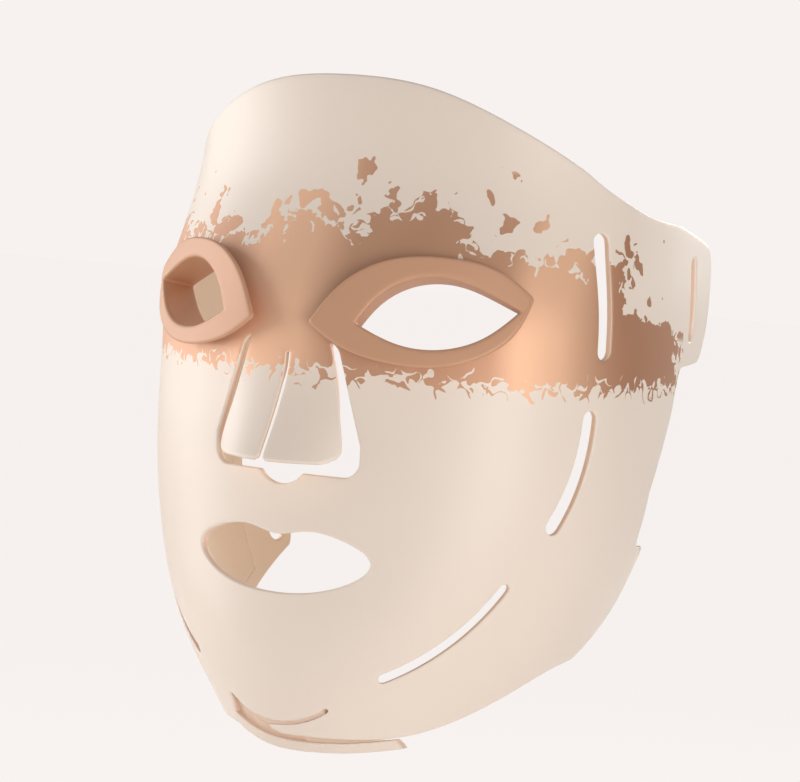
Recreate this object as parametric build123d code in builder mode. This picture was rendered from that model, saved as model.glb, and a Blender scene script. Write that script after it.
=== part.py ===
from build123d import *
import math
import os

os.makedirs("parts", exist_ok=True)

# The mask faces -Y, +Z is up and +X is the wearer's left.
# The origin is on the middle line, on the inner face of the bridge between the eyes.

# Overall sizes of the curled sheet
mask_height = 205.0
half_width = 83.6
front_bow = 64.4
rear_bow = 138.0
sheet = 2.4
cut_overrun = 30.0

# Level lines of the form, from above the crown down to below the chin: height over mask_height,
# half width over half_width, bow of the front and its set-back over front_bow, bow of the rear over rear_bow
level_shares = [
    (0.450, 0.880, 0.660, 0.343, 1.000),
    (0.366, 0.909, 0.730, 0.284, 1.000),
    (0.220, 0.958, 0.859, 0.200, 1.000),
    (0.134, 0.978, 0.920, 0.085, 1.000),
    (0.049, 0.998, 0.975, -0.028, 1.000),
    (-0.049, 1.000, 0.990, -0.046, 0.920),
    (-0.146, 1.000, 1.000, -0.058, 0.820),
    (-0.341, 0.935, 1.012, -0.075, 0.610),
    (-0.512, 0.740, 1.064, -0.075, 0.500),
    (-0.595, 0.614, 1.118, 0.007, 0.440),
    (-0.683, 0.490, 1.130, 0.103, 0.400),
]
rear_turn = 46.0

# Layers of the sheet, measured inwards from the outer face
front_wall = 0.8
layer_gap = 0.1
circuit_thickness = 0.15

# Rim that closes the edge of the sheet round the inner parts
rim = 4.5
opening_rim = 3.0
lining_gap = 0.3
circuit_inset = 1.6
lining_rear_y = 80.0

# Crown line of the front view, from the middle to the temple: shares of half_width and mask_height
crown_shares = [(0, 0.387), (0.385, 0.370), (0.654, 0.324), (0.876, 0.258), (0.981, 0.205)]

# Side view of the edge: depths behind the origin and heights, in millimetres
brow_point = (39.5, 64.0)
temple_point = (47.7, 53.0)
temple_dip_point = (64.0, 43.6)
tab_root_point = (97.5, 37.8)
tab_top_point = (137.0, 29.5)
tab_bottom_point = (137.5, -7.2)
notch_point = (101.5, -7.4)
notch_low_point = (97.7, -21.1)
cheek_edge_point = (85.0, -46.1)
jaw_tab_root_point = (83.2, -64.0)
jaw_tab_top_point = (102.5, -65.8)
jaw_tab_bottom_point = (97.0, -80.5)
jaw_heel_point = (69.5, -100.2)
jaw_hollow_point = (58.5, -102.4)
jaw_mid_point = (41.6, -112.5)
jaw_front_point = (21.8, -122.8)
chin_point = (0, -124.4)
tab_corner_radius = 10.0
notch_radius = 5.0
jaw_tab_corner_radius = 4.0

# Long slots that let the sheet curl: the two ends and the middle of each slot's middle line, and its turn
slot_width = 5.2
temple_slot_line = [(49.1, 32.6), (48.1, 17.0), (47.7, -0.7)]
temple_slot_turn = 0
cheek_slot_line = [(70.7, -21.2), (67.6, -38.0), (60.6, -54.2)]
cheek_slot_turn = 22.0
jaw_slot_width = 3.0
jaw_slot_line = [(63.8, -73.6), (47.4, -91.7), (29.3, -103.4)]
jaw_slot_turn = 45.0

# Strap slots of the ear tab and of the jaw tab
strap_slot_width = 5.4
strap_slot_length = 27.0
strap_slot_y = 110.5
strap_slot_z = 14.0
jaw_strap_slot_width = 4.4
jaw_strap_slot_length = 13.0
jaw_strap_slot_y = 92.6
jaw_strap_slot_z = -72.8

# Eye openings: centre in the front view, directions, and outline in shares of its length and height
eye_x = 45.3
eye_z = 8.1
eye_set_in = 2.3
eye_turn = 28.0
eye_tilt = 8.5
eye_lean = 11.0
eye_view_length = 48.0
eye_view_height = 21.0
eye_top_shares = [(-0.5, 0), (-0.365, 0.30), (-0.133, 0.53), (0.129, 0.49), (0.39, 0.18), (0.53, -0.03)]
eye_low_shares = [(0.53, -0.03), (0.285, -0.38), (0.01, -0.49), (-0.227, -0.38), (-0.44, -0.10), (-0.5, 0)]

# Eye shields: a bowed flange on the face with a tunnel through the sheet
tunnel_wall = 1.6
shield_fit = 0.45
flange_length = 69.0
flange_height = 34.0
flange_set = -4.3
flange_rise = 1.3
flange_thickness = 1.5
flange_gap = 0.4
flange_nose_drop = 3.4
flange_temple_drop = 4.2
flange_top_shares = [(-0.5, 0.02), (-0.33, 0.34), (-0.119, 0.497), (0.128, 0.474), (0.367, 0.303), (0.5, 0.05)]
flange_low_shares = [(0.5, 0.05), (0.403, -0.26), (0.122, -0.497), (-0.151, -0.43), (-0.394, -0.19), (-0.5, 0.02)]
tunnel_depth = 10.5

# Nose flaps, from the root down: heights, half breadths and how far the ridge stands off the face
nose_sheet = 1.6
nose_levels = [(5.0, 13.0, -0.7), (-3.0, 15.0, -0.45), (-10.0, 16.9, 0.4), (-22.0, 19.2, 4.2)]
nose_low_levels = [(-30.0, 20.8, 7.6), (-38.4, 21.8, 11.7)]
nose_slit = 1.7
nose_slit_top_z = -6.0
flap_corner_radius = 5.0

# Nostril opening round the flaps: heights and half breadths
nostril_top_point = (17.0, -2.0)
nostril_side_point = (26.6, -33.0)
nostril_bottom_z = -42.8
nostril_corner_radius = 10.0
septum_notch_half = 8.0
septum_notch_z = -46.6

# Mouth opening, its right half from the dip of the upper lip to the low point: x and z
mouth_upper_line = [(0, -62.0), (10.0, -60.3), (20.5, -61.3), (27.5, -63.9), (31.0, -66.5), (31.9, -68.0)]
mouth_lower_line = [(31.9, -68.0), (31.3, -70.1), (28.3, -73.2), (22.0, -76.4), (10.0, -79.3), (0, -79.9)]

# Chin: a curved slit in the front view, and two straps that cross below it
chin_slit_line = [(-18.0, -115.0), (0, -121.0), (18.0, -115.0)]
chin_slit_gap = 1.8
near_strap_end_x = -11.0
far_strap_line = [(-27.0, -118.5), (-13.5, -124.3), (-3.0, -127.1), (10.0, -127.8), (22.0, -127.3), (33.0, -125.7)]
far_strap_width = 3.4
strap_gap = 0.5
strap_floor_depth = 15.0
strap_floor_thickness = 1.8
strap_lip = 0.4
tongue_width = 6.2
tongue_thickness = 1.2
tongue_lap = 0.4

# Lamps and resistors on the inner face of the flexible circuit
led_length = 3.5
led_width = 2.8
led_height = 0.6
led_lens_radius = 1.0
led_lens_depth = 0.15
led_seat_gap = 0.05
led_cover_gap = 0.1
led_side_gap = 0.25
led_clearance = 4.5
led_top_z = 61.0
led_low_z = -107.0
led_row_pitch = 12.0
led_column_pitch = 11.5
led_reach_share = 0.74
resistor_length = 1.6
resistor_width = 0.8
resistor_height = 0.35
resistor_offset = 3.6
resistor_clearance = 4.2

# Power inlet on the wearer's left of the jaw: place of its mouth in the side view, and sizes
inlet_y = 63.5
inlet_z = -101.2
inlet_inset = 1.35
inlet_lean = 24.0
inlet_case_width = 14.0
inlet_case_thickness = 6.0
inlet_case_length = 15.0
inlet_case_radius = 1.5
inlet_wall = 0.3
inlet_shell_width = 8.94
inlet_shell_thickness = 3.2
inlet_shell_length = 7.4
inlet_shell_setback = 0.6
inlet_tongue_width = 6.7
inlet_tongue_thickness = 0.7
inlet_tongue_setback = 1.2
inlet_contact_count = 12
inlet_contact_pitch = 0.5
inlet_contact_width = 0.25
inlet_contact_length = 3.0
inlet_contact_height = 0.12
inlet_board_length = 5.0
inlet_board_width = 10.0
inlet_board_thickness = 0.8
inlet_fit = 0.1


def level_size(share_row):
    """Height, half width, front bow, front line and rear bow of one level line."""
    height, width, bow, setback, rear = share_row
    return (height * mask_height, width * half_width, bow * front_bow, setback * front_bow, rear * rear_bow)


def level_outline(share_row, inset):
    """Draws the closed level line, a half ellipse in front and two longer arcs that close in behind."""
    height, width, bow, front, rear = level_size(share_row)
    centre = (0, front + bow)
    x_radius = width - inset
    rear_y = front + bow + (rear - inset) * math.sin(math.radians(rear_turn))
    rear_x = x_radius * math.cos(math.radians(rear_turn))
    EllipticalCenterArc(centre, x_radius, bow - inset, 180, arc_size=180)
    EllipticalCenterArc(centre, x_radius, rear - inset, 0, arc_size=rear_turn)
    Line((rear_x, rear_y), (-rear_x, rear_y))
    EllipticalCenterArc(centre, x_radius, rear - inset, 180 - rear_turn, arc_size=rear_turn)


def head_form(inset):
    """Solid inside the curled sheet, its front and sides set in from the outer face."""
    with BuildPart() as form:
        for share_row in level_shares:
            with BuildSketch(Plane.XY.offset(level_size(share_row)[0])):
                with BuildLine():
                    level_outline(share_row, inset)
                make_face()
        loft()
    return form.part


def sizes_at(z):
    """Half width, front bow, front line and rear bow of the form at a height."""
    rows = [level_size(share_row) for share_row in level_shares]
    for upper, lower in zip(rows, rows[1:]):
        if upper[0] >= z >= lower[0]:
            part_way = (upper[0] - z) / (upper[0] - lower[0])
            return [a + (b - a) * part_way for a, b in zip(upper[1:], lower[1:])]
    return rows[-1][1:]


def face_y(x, z):
    """Depth of the outer face of the sheet in front, at a place of the front view."""
    width, bow, front, rear = sizes_at(z)
    return front + bow - bow * math.sqrt(1 - (x / width) ** 2)


def side_x(y, z):
    """Half breadth of the outer face of the sheet, at a place of the side view."""
    width, bow, front, rear = sizes_at(z)
    behind = y - front - bow
    reach = rear if behind > 0 else bow
    return width * math.sqrt(1 - (behind / reach) ** 2)


def side_edge():
    """Side view of the sheet's edge as a prism, with its corners rounded."""
    with BuildPart() as prism:
        with BuildSketch(Plane.YZ):
            with BuildLine():
                top = Spline(brow_point, temple_point, temple_dip_point, tab_root_point)
                rear = FilletPolyline(
                    tab_root_point,
                    tab_top_point,
                    tab_bottom_point,
                    notch_point,
                    notch_low_point,
                    cheek_edge_point,
                    radius=[tab_corner_radius, tab_corner_radius, notch_radius, notch_radius],
                )
                heel = FilletPolyline(
                    cheek_edge_point,
                    jaw_tab_root_point,
                    jaw_tab_top_point,
                    jaw_tab_bottom_point,
                    jaw_heel_point,
                    radius=jaw_tab_corner_radius,
                )
                jaw = Spline(jaw_heel_point, jaw_hollow_point, jaw_mid_point, jaw_front_point, chin_point)
                Polyline(chin_point, (-mask_height, chin_point[1]), (-mask_height, mask_height))
                Polyline((-mask_height, mask_height), (0, mask_height), brow_point)
            make_face()
        extrude(amount=half_width + cut_overrun, both=True)
    return prism.part


def crown_edge():
    """Front view of the crown line as a prism."""
    left = [(a * half_width, b * mask_height) for a, b in crown_shares]
    right = [(-x, z) for x, z in reversed(left)]
    side = half_width + cut_overrun
    with BuildPart() as prism:
        with BuildSketch(Plane.XZ):
            with BuildLine():
                Spline(*right[:-1], *left)
                Polyline(left[-1], (side, left[-1][1]), (side, -mask_height), (-side, -mask_height))
                Polyline((-side, -mask_height), (-side, left[-1][1]), right[0])
            make_face()
        extrude(amount=mask_height, both=True)
    return prism.part


def trim_to_edges(shrink):
    """Trims the part in hand to the outline of the sheet, drawn in by shrink from every side."""
    side = side_edge()
    crown = crown_edge()
    moves = [(0, -shrink, 0), (0, 0, -shrink), (0, 0, shrink)] if shrink else [(0, 0, 0)]
    for move in moves:
        add(side.moved(Location(move)), mode=Mode.INTERSECT)
    add(crown.moved(Location((0, 0, -shrink))), mode=Mode.INTERSECT)


def sheet_layer(outer_inset, inner_inset, shrink, opening_grow):
    """One layer of the curled sheet between two depths below its outer face, with every opening cut."""
    with BuildPart() as layer:
        add(head_form(outer_inset))
        add(head_form(inner_inset), mode=Mode.SUBTRACT)
        trim_to_edges(shrink)
        if shrink:
            add(ear_tab_block(), mode=Mode.SUBTRACT)
        cut_openings(opening_grow)
    return layer.part


def eye_plane(outward):
    """Plane of the left eye opening, its X to the temple and its Z out of the face."""
    turn = math.radians(eye_turn)
    tilt = math.radians(eye_tilt)
    lean = math.radians(eye_lean)
    along = Vector(math.cos(turn) * math.cos(tilt), math.sin(turn) * math.cos(tilt), math.sin(tilt))
    facing = Vector(math.sin(turn) * math.cos(lean), -math.cos(turn) * math.cos(lean), math.sin(lean))
    normal = along.cross(facing.cross(along)).normalized()
    centre = Vector(eye_x, face_y(eye_x, eye_z), eye_z) + normal * (outward - eye_set_in)
    return Plane(origin=centre, x_dir=along, z_dir=normal)


def almond(length, height, top_shares, low_shares, centre=(0, 0)):
    """Draws a closed almond through shares of its length and height."""
    u, w = centre
    Spline(*[(u + length * a, w + height * b) for a, b in top_shares])
    Spline(*[(u + length * a, w + height * b) for a, b in low_shares])


def eye_column(grow, back=cut_overrun, front=cut_overrun):
    """Column along the left eye opening, from a depth behind its plane to one in front of it."""
    with BuildPart() as column:
        with BuildSketch(eye_plane(-back)):
            with BuildLine():
                almond(
                    eye_view_length + 2 * grow,
                    eye_view_height + 2 * grow,
                    eye_top_shares,
                    eye_low_shares,
                )
            make_face()
        extrude(amount=back + front)
    return column.part


def mouth_column(grow):
    """Column through the sheet along the mouth opening, its outline widened by grow on every side."""
    corner_x, corner_z = mouth_upper_line[-1]
    half_height = (mouth_upper_line[0][1] - mouth_lower_line[-1][1]) / 2
    wide = 1 + grow / corner_x
    high = 1 + grow / half_height
    upper = [(x * wide, corner_z + (z - corner_z) * high) for x, z in mouth_upper_line]
    lower = [(x * wide, corner_z + (z - corner_z) * high) for x, z in mouth_lower_line]
    with BuildPart() as column:
        with BuildSketch(Plane.XZ):
            with BuildLine():
                Spline(*[(-x, z) for x, z in reversed(upper[1:])], *upper)
                Spline(*lower, *[(-x, z) for x, z in reversed(lower[:-1])])
            make_face()
        extrude(amount=front_bow, both=True)
    return column.part


def nostril_column(grow):
    """Column through the sheet round both nose flaps, with the notch under the slit."""
    top_x, top_z = nostril_top_point
    side_x_at, side_z = nostril_side_point
    foot = (septum_notch_half, nostril_bottom_z)
    with BuildPart() as column:
        with BuildSketch(Plane.XZ):
            with BuildLine():
                FilletPolyline(
                    foot,
                    (side_x_at, nostril_bottom_z),
                    (side_x_at, side_z),
                    (top_x, top_z),
                    (-top_x, top_z),
                    (-side_x_at, side_z),
                    (-side_x_at, nostril_bottom_z),
                    (-septum_notch_half, nostril_bottom_z),
                    radius=nostril_corner_radius / 2,
                )
                ThreePointArc((-septum_notch_half, nostril_bottom_z), (0, septum_notch_z), foot)
            make_face()
            if grow:
                offset(amount=grow)
        extrude(amount=front_bow, both=True)
    return column.part


def side_plane(turn):
    """Upright plane through the origin, turned from the side view towards the front view."""
    angle = math.radians(turn)
    return Plane(
        origin=(0, 0, 0),
        x_dir=(math.sin(angle), math.cos(angle), 0),
        z_dir=(math.cos(angle), -math.sin(angle), 0),
    )


def slot_column(line, turn, width):
    """Column along one curved slot of the left side."""
    with BuildPart() as column:
        with BuildSketch(side_plane(turn)):
            with BuildLine(mode=Mode.PRIVATE) as middle:
                ThreePointArc(*line)
            SlotArc(arc=middle.wire(), height=width)
        extrude(amount=half_width + cut_overrun)
    return column.part


def strap_column(y, z, length, width):
    """Column along one strap slot of the left side."""
    with BuildPart() as column:
        with BuildSketch(Plane.YZ):
            with Locations((y, z)):
                SlotOverall(length, width, rotation=90)
        extrude(amount=half_width + cut_overrun)
    return column.part


def chin_slit_column(grow):
    """Column through the sheet along the curved slit above the chin."""
    with BuildPart() as column:
        with BuildSketch(Plane.XZ):
            with BuildLine(mode=Mode.PRIVATE) as middle:
                ThreePointArc(*chin_slit_line)
            SlotArc(arc=middle.wire(), height=chin_slit_gap + 2 * grow)
        extrude(amount=front_bow / 2, both=True)
    return column.part


def ear_tab_block():
    """Block behind which the sheet is solid, round the ear tabs and the jaw tabs."""
    with BuildPart() as block:
        with BuildSketch(Plane.XY.offset(-mask_height)):
            with Locations((0, lining_rear_y)):
                Rectangle(2 * mask_height, mask_height, align=(Align.CENTER, Align.MIN))
        extrude(amount=2 * mask_height)
    return block.part


def cut_openings(grow):
    """Takes every through opening out of the part in hand, each widened by grow."""
    left_columns = [
        eye_column(tunnel_wall + shield_fit + grow),
        slot_column(temple_slot_line, temple_slot_turn, slot_width + 2 * grow),
        slot_column(cheek_slot_line, cheek_slot_turn, slot_width + 2 * grow),
        slot_column(jaw_slot_line, jaw_slot_turn, jaw_slot_width + 2 * grow),
        strap_column(strap_slot_y, strap_slot_z, strap_slot_length + 2 * grow, strap_slot_width + 2 * grow),
        strap_column(
            jaw_strap_slot_y,
            jaw_strap_slot_z,
            jaw_strap_slot_length + 2 * grow,
            jaw_strap_slot_width + 2 * grow,
        ),
    ]
    add(left_columns, mode=Mode.SUBTRACT)
    add([mirror(column, Plane.YZ) for column in left_columns], mode=Mode.SUBTRACT)
    add(mouth_column(grow), mode=Mode.SUBTRACT)
    add(nostril_column(grow), mode=Mode.SUBTRACT)
    add(chin_slit_column(grow), mode=Mode.SUBTRACT)


def nose_band(level):
    """Draws the section of the nose sheet at one level as an arched band."""
    z, half, rise = level
    side_y = face_y(half, z)
    if rise < 0:
        side_y = side_y - rise
    front_y = face_y(0, z) - rise
    outer = ThreePointArc((-half, side_y), (0, front_y), (half, side_y))
    inner = ThreePointArc(
        (half - nose_sheet, side_y + nose_sheet / 2),
        (0, front_y + nose_sheet),
        (-half + nose_sheet, side_y + nose_sheet / 2),
    )
    Line(outer @ 1, inner @ 0)
    Line(inner @ 1, outer @ 0)


def nose_flaps():
    """Both flaps of the nose, which stand off the face below their root."""
    low_z = nose_low_levels[-1][0]
    low_half = nose_low_levels[-1][1]
    top_z = nose_levels[0][0]
    with BuildPart() as flaps:
        for level in nose_levels + nose_low_levels:
            with BuildSketch(Plane.XY.offset(level[0])):
                with BuildLine():
                    nose_band(level)
                make_face()
        loft()
        with BuildSketch(Plane.XZ):
            with Locations((0, low_z)):
                RectangleRounded(
                    2 * low_half,
                    2 * (top_z - low_z),
                    flap_corner_radius,
                    align=(Align.CENTER, Align.MIN),
                )
        extrude(amount=front_bow, both=True, mode=Mode.INTERSECT)
        with BuildSketch(Plane.XZ):
            with Locations((0, low_z)):
                SlotOverall(2 * (nose_slit_top_z - low_z), nose_slit, rotation=90)
        extrude(amount=front_bow, both=True, mode=Mode.SUBTRACT)
    return flaps.part


def strap_band(line, width, outer_inset, inner_inset):
    """Band of the chin along a line of the front view, between two depths below the outer face."""
    with BuildPart() as band:
        with BuildSketch(Plane.XZ):
            with BuildLine():
                Spline(*line)
            trace(line_width=width)
        extrude(amount=front_bow, both=True)
        add(head_form(outer_inset), mode=Mode.INTERSECT)
        add(head_form(inner_inset), mode=Mode.SUBTRACT)
    return band.part


def far_strap():
    """Strap that crosses from the far jaw below the near one, with its floor and the tongue behind the slit."""
    floor_drop = (far_strap_width - strap_floor_thickness) / 2 - strap_lip
    floor_line = [(x, z - floor_drop) for x, z in far_strap_line]
    with BuildPart() as strap:
        add(strap_band(far_strap_line, far_strap_width, 0, sheet))
        add(strap_band(floor_line[1:-1], strap_floor_thickness, 0, strap_floor_depth))
        add(strap_band(chin_slit_line, tongue_width, sheet - tongue_lap, sheet + tongue_thickness))
    return strap.part


def chin_parting():
    """Space that frees the near strap of the chin from the far jaw and the far strap."""
    slit_x, slit_z = chin_slit_line[0]
    low_z = far_strap_line[1][1] - far_strap_width
    with BuildPart() as parting:
        with BuildSketch(Plane.XZ):
            with BuildLine():
                Polyline(
                    (slit_x, slit_z),
                    (near_strap_end_x, chin_slit_line[1][1]),
                    (near_strap_end_x, low_z),
                    (slit_x, low_z),
                    close=True,
                )
            make_face()
        extrude(amount=front_bow / 2, both=True)
        with BuildSketch(Plane.XZ):
            with BuildLine():
                Spline(*far_strap_line)
            trace(line_width=far_strap_width + 2 * strap_gap)
            with Locations((slit_x, low_z)):
                Rectangle(front_bow, front_bow, align=(Align.MAX, Align.CENTER), mode=Mode.SUBTRACT)
        extrude(amount=front_bow / 2, both=True)
    return parting.part


def inlet_plane(along):
    """Plane across the power inlet: X runs with the edge, Y out of the sheet, Z down out of the mouth."""
    lean = math.radians(inlet_lean)
    down = Vector(-math.sin(lean), 0, -math.cos(lean))
    outward = Vector(math.cos(lean), 0, -math.sin(lean))
    depth = inlet_inset + inlet_case_thickness / 2
    mouth = Vector(side_x(inlet_y, inlet_z), inlet_y, inlet_z) - outward * depth
    return Plane(origin=mouth + down * along, x_dir=(0, 1, 0), z_dir=down)


def inlet_case_block(grow):
    """Outer block of the inlet's case, widened by grow."""
    with BuildPart() as block:
        with BuildSketch(inlet_plane(-inlet_case_length - grow)):
            RectangleRounded(
                inlet_case_width + 2 * grow,
                inlet_case_thickness + 2 * grow,
                inlet_case_radius + grow,
            )
        extrude(amount=inlet_case_length + 2 * grow)
    return block.part


def crown_z(x):
    """Height of the crown line in the front view."""
    line = [(a * half_width, b * mask_height) for a, b in crown_shares]
    for inner, outer in zip(line, line[1:]):
        if inner[0] <= abs(x) <= outer[0]:
            part_way = (abs(x) - inner[0]) / (outer[0] - inner[0])
            return inner[1] + (outer[1] - inner[1]) * part_way
    return line[-1][1]


def within(x, z, centre, half_x, half_z):
    """Tells whether a place lies in an ellipse of the front view."""
    return ((x - centre[0]) / half_x) ** 2 + ((z - centre[1]) / half_z) ** 2 < 1


def is_clear(x, z, clearance):
    """Tells whether a place of the front view keeps a clearance from the rims of the openings and the edge."""
    margin = opening_rim + clearance
    mouth_centre = (0, (mouth_upper_line[0][1] + mouth_lower_line[-1][1]) / 2)
    mouth_half_z = (mouth_upper_line[0][1] - mouth_lower_line[-1][1]) / 2
    mouth_half_x = mouth_upper_line[-1][0]
    eye_half_x = eye_view_length / 2 * math.cos(math.radians(eye_turn))
    eye_margin = margin + tunnel_wall
    if within(abs(x), z, (eye_x, eye_z), eye_half_x + eye_margin, eye_view_height / 2 + eye_margin):
        return False
    if within(x, z, mouth_centre, mouth_half_x + margin, mouth_half_z + margin):
        return False
    nose_side, nose_low = nostril_side_point[0] + margin, septum_notch_z - margin
    if abs(x) < nose_side and nose_low < z < nostril_top_point[1] + margin:
        return False
    if z > crown_z(x) - rim - clearance:
        return False
    jaw_along = (abs(x) + face_y(x, z)) * math.sin(math.radians(jaw_slot_turn))
    slot_high, slot_mid, slot_low = jaw_slot_line
    if z < slot_low[1]:
        return abs(x) < (slot_low[0] - margin) * math.sin(math.radians(jaw_slot_turn))
    if z < slot_high[1] + margin:
        part_way = (slot_high[1] - z) / (slot_high[1] - slot_low[1])
        return jaw_along < slot_high[0] + (slot_low[0] - slot_high[0]) * part_way - margin
    return True


def lamp_places():
    """Rows of places for the lamps in the front view, each with its number in the pattern."""
    places = []
    rows = round((led_top_z - led_low_z) / led_row_pitch)
    for row in range(rows + 1):
        z = led_top_z - row * led_row_pitch
        reach = led_reach_share * sizes_at(z)[0]
        columns = int(reach // led_column_pitch)
        for column in range(-columns, columns + 1):
            x = column * led_column_pitch
            if is_clear(x, z, led_clearance) and is_clear(x, z - resistor_offset, resistor_clearance):
                places.append((x, z, (row + column) % 3))
    return places


circuit_outer = front_wall + layer_gap
circuit_inner = circuit_outer + circuit_thickness
lining_outer = circuit_inner + layer_gap
circuit_face = head_form(circuit_inner).faces().sort_by(Axis.Y)[0]


def seat_at(x, z):
    """Seat on the inner face of the circuit at a place of the front view, with Z out of the mask."""
    point = (x, face_y(x, z) + circuit_inner, z)
    seat = circuit_face.location_at(surface_point=point, x_dir=(1, 0, 0))
    if Plane(seat).z_dir.Y > 0:
        seat = seat * Location((0, 0, 0), (180, 0, 0))
    return seat


lamp_seats = {0: [], 1: [], 2: []}
resistor_seats = []
for lamp_x, lamp_z, kind in lamp_places():
    lamp_seats[kind].append(seat_at(lamp_x, lamp_z))
    resistor_seats.append(seat_at(lamp_x, lamp_z - resistor_offset))
all_seats = lamp_seats[0] + lamp_seats[1] + lamp_seats[2]

# Outer silicone skin with the rim, the nose flaps and the chin straps
with BuildPart() as front_skin:
    add(sheet_layer(0, sheet, 0, 0))
    add(nose_flaps())
    add(chin_parting(), mode=Mode.SUBTRACT)
    add(far_strap())
    add(sheet_layer(front_wall, sheet, rim, opening_rim), mode=Mode.SUBTRACT)
    add(inlet_case_block(inlet_fit), mode=Mode.SUBTRACT)

# Inner silicone lining with a pocket over every lamp and resistor
with BuildPart() as lamp_pockets:
    with Locations(*all_seats):
        Box(
            led_length + 2 * led_side_gap,
            led_width + 2 * led_side_gap,
            led_height + led_cover_gap,
            align=(Align.CENTER, Align.CENTER, Align.MAX),
        )
    with Locations(*resistor_seats):
        Box(
            resistor_length + 2 * led_side_gap,
            resistor_width + 2 * led_side_gap,
            resistor_height + led_cover_gap,
            align=(Align.CENTER, Align.CENTER, Align.MAX),
        )

with BuildPart() as back_skin:
    add(sheet_layer(lining_outer, sheet, rim + lining_gap, opening_rim + lining_gap))
    add(lamp_pockets.part, mode=Mode.SUBTRACT)
    add(inlet_case_block(inlet_fit), mode=Mode.SUBTRACT)

# Flexible circuit between the two skins
with BuildPart() as flex_circuit:
    add(sheet_layer(circuit_outer, circuit_inner, rim + circuit_inset, opening_rim + circuit_inset))


def lamp_group(seats):
    """Lamps of one colour, each a package with a round window on its inner face."""
    with BuildPart() as group:
        with Locations(*[seat * Location((0, 0, -led_seat_gap)) for seat in seats]):
            Box(led_length, led_width, led_height, align=(Align.CENTER, Align.CENTER, Align.MAX))
        with Locations(*[seat * Location((0, 0, -led_seat_gap - led_height)) for seat in seats]):
            Cylinder(
                led_lens_radius,
                led_lens_depth,
                align=(Align.CENTER, Align.CENTER, Align.MIN),
                mode=Mode.SUBTRACT,
            )
    return group.part


with BuildPart() as red_leds:
    add(lamp_group(lamp_seats[0]))

with BuildPart() as amber_leds:
    add(lamp_group(lamp_seats[1]))

with BuildPart() as infrared_leds:
    add(lamp_group(lamp_seats[2]))

with BuildPart() as chip_resistors:
    with Locations(*[seat * Location((0, 0, -led_seat_gap)) for seat in resistor_seats]):
        Box(
            resistor_length,
            resistor_width,
            resistor_height,
            align=(Align.CENTER, Align.CENTER, Align.MAX),
        )

# Power inlet in the edge of the jaw
inlet_shell_back = inlet_shell_setback + inlet_shell_length
inlet_board_back = inlet_shell_back + inlet_board_length

with BuildPart() as inlet_case:
    add(inlet_case_block(0))
    with BuildSketch(inlet_plane(-inlet_shell_back)):
        SlotOverall(inlet_shell_width + 2 * inlet_fit, inlet_shell_thickness + 2 * inlet_fit)
    extrude(amount=inlet_shell_back, mode=Mode.SUBTRACT)
    with BuildSketch(inlet_plane(-inlet_board_back - inlet_fit)):
        Rectangle(inlet_board_width + 2 * inlet_fit, inlet_board_thickness + 2 * inlet_fit)
    extrude(amount=inlet_board_length + inlet_fit, mode=Mode.SUBTRACT)

with BuildPart() as inlet_shell:
    with BuildSketch(inlet_plane(-inlet_shell_back)):
        SlotOverall(inlet_shell_width, inlet_shell_thickness)
        SlotOverall(
            inlet_shell_width - 2 * inlet_wall,
            inlet_shell_thickness - 2 * inlet_wall,
            mode=Mode.SUBTRACT,
        )
    extrude(amount=inlet_shell_length)

with BuildPart() as inlet_board:
    with BuildSketch(inlet_plane(-inlet_board_back)):
        Rectangle(inlet_board_width, inlet_board_thickness)
    extrude(amount=inlet_board_length)

with BuildPart() as inlet_tongue:
    with BuildSketch(inlet_plane(-inlet_shell_back)):
        Rectangle(inlet_tongue_width, inlet_tongue_thickness)
    extrude(amount=inlet_shell_back - inlet_tongue_setback)

inlet_contact_back = inlet_tongue_setback + inlet_contact_length + inlet_contact_width
with BuildPart() as inlet_contacts:
    with BuildSketch(inlet_plane(-inlet_contact_back)):
        for side in (-1, 1):
            with Locations((0, side * (inlet_tongue_thickness + inlet_contact_height) / 2)):
                with GridLocations(inlet_contact_pitch, 0, inlet_contact_count, 1):
                    Rectangle(inlet_contact_width, inlet_contact_height)
    extrude(amount=inlet_contact_length)


def shield_section(low, crest, thickness):
    """Draws the bowed section of a shield across the eye, from its back up to its outer face."""
    nose_u = flange_set - flange_length / 2
    temple_u = flange_set + flange_length / 2
    nose_n = crest - flange_nose_drop + thickness
    temple_n = crest - flange_temple_drop + thickness
    ThreePointArc((nose_u, nose_n), (0, crest + thickness), (temple_u, temple_n))
    if low is None:
        Line((temple_u, temple_n), (temple_u, temple_n - thickness))
        ThreePointArc((temple_u, temple_n - thickness), (0, crest), (nose_u, nose_n - thickness))
        Line((nose_u, nose_n - thickness), (nose_u, nose_n))
    else:
        Polyline((temple_u, temple_n), (temple_u, low), (nose_u, low), (nose_u, nose_n))


# Eye shields of soft silicone, pushed into the eye openings
shield_face = eye_plane(0)
shield_side = Plane(origin=shield_face.origin, x_dir=shield_face.x_dir, z_dir=-shield_face.y_dir)
shield_crest = eye_set_in + flange_gap
flange_centre = (flange_set, flange_rise)

with BuildPart() as flange:
    with BuildSketch(shield_side):
        with BuildLine():
            shield_section(None, shield_crest, flange_thickness)
        make_face()
    extrude(amount=flange_height, both=True)
    with BuildSketch(eye_plane(-cut_overrun)):
        with BuildLine():
            almond(flange_length, flange_height, flange_top_shares, flange_low_shares, flange_centre)
        make_face()
    extrude(amount=2 * cut_overrun, mode=Mode.INTERSECT)

with BuildPart() as eye_shield_left:
    with BuildSketch(shield_side):
        with BuildLine():
            shield_section(-tunnel_depth, shield_crest, flange_thickness)
        make_face()
    extrude(amount=flange_height, both=True)
    add(eye_column(tunnel_wall), mode=Mode.INTERSECT)
    add(flange.part)
    add(eye_column(0), mode=Mode.SUBTRACT)

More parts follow.
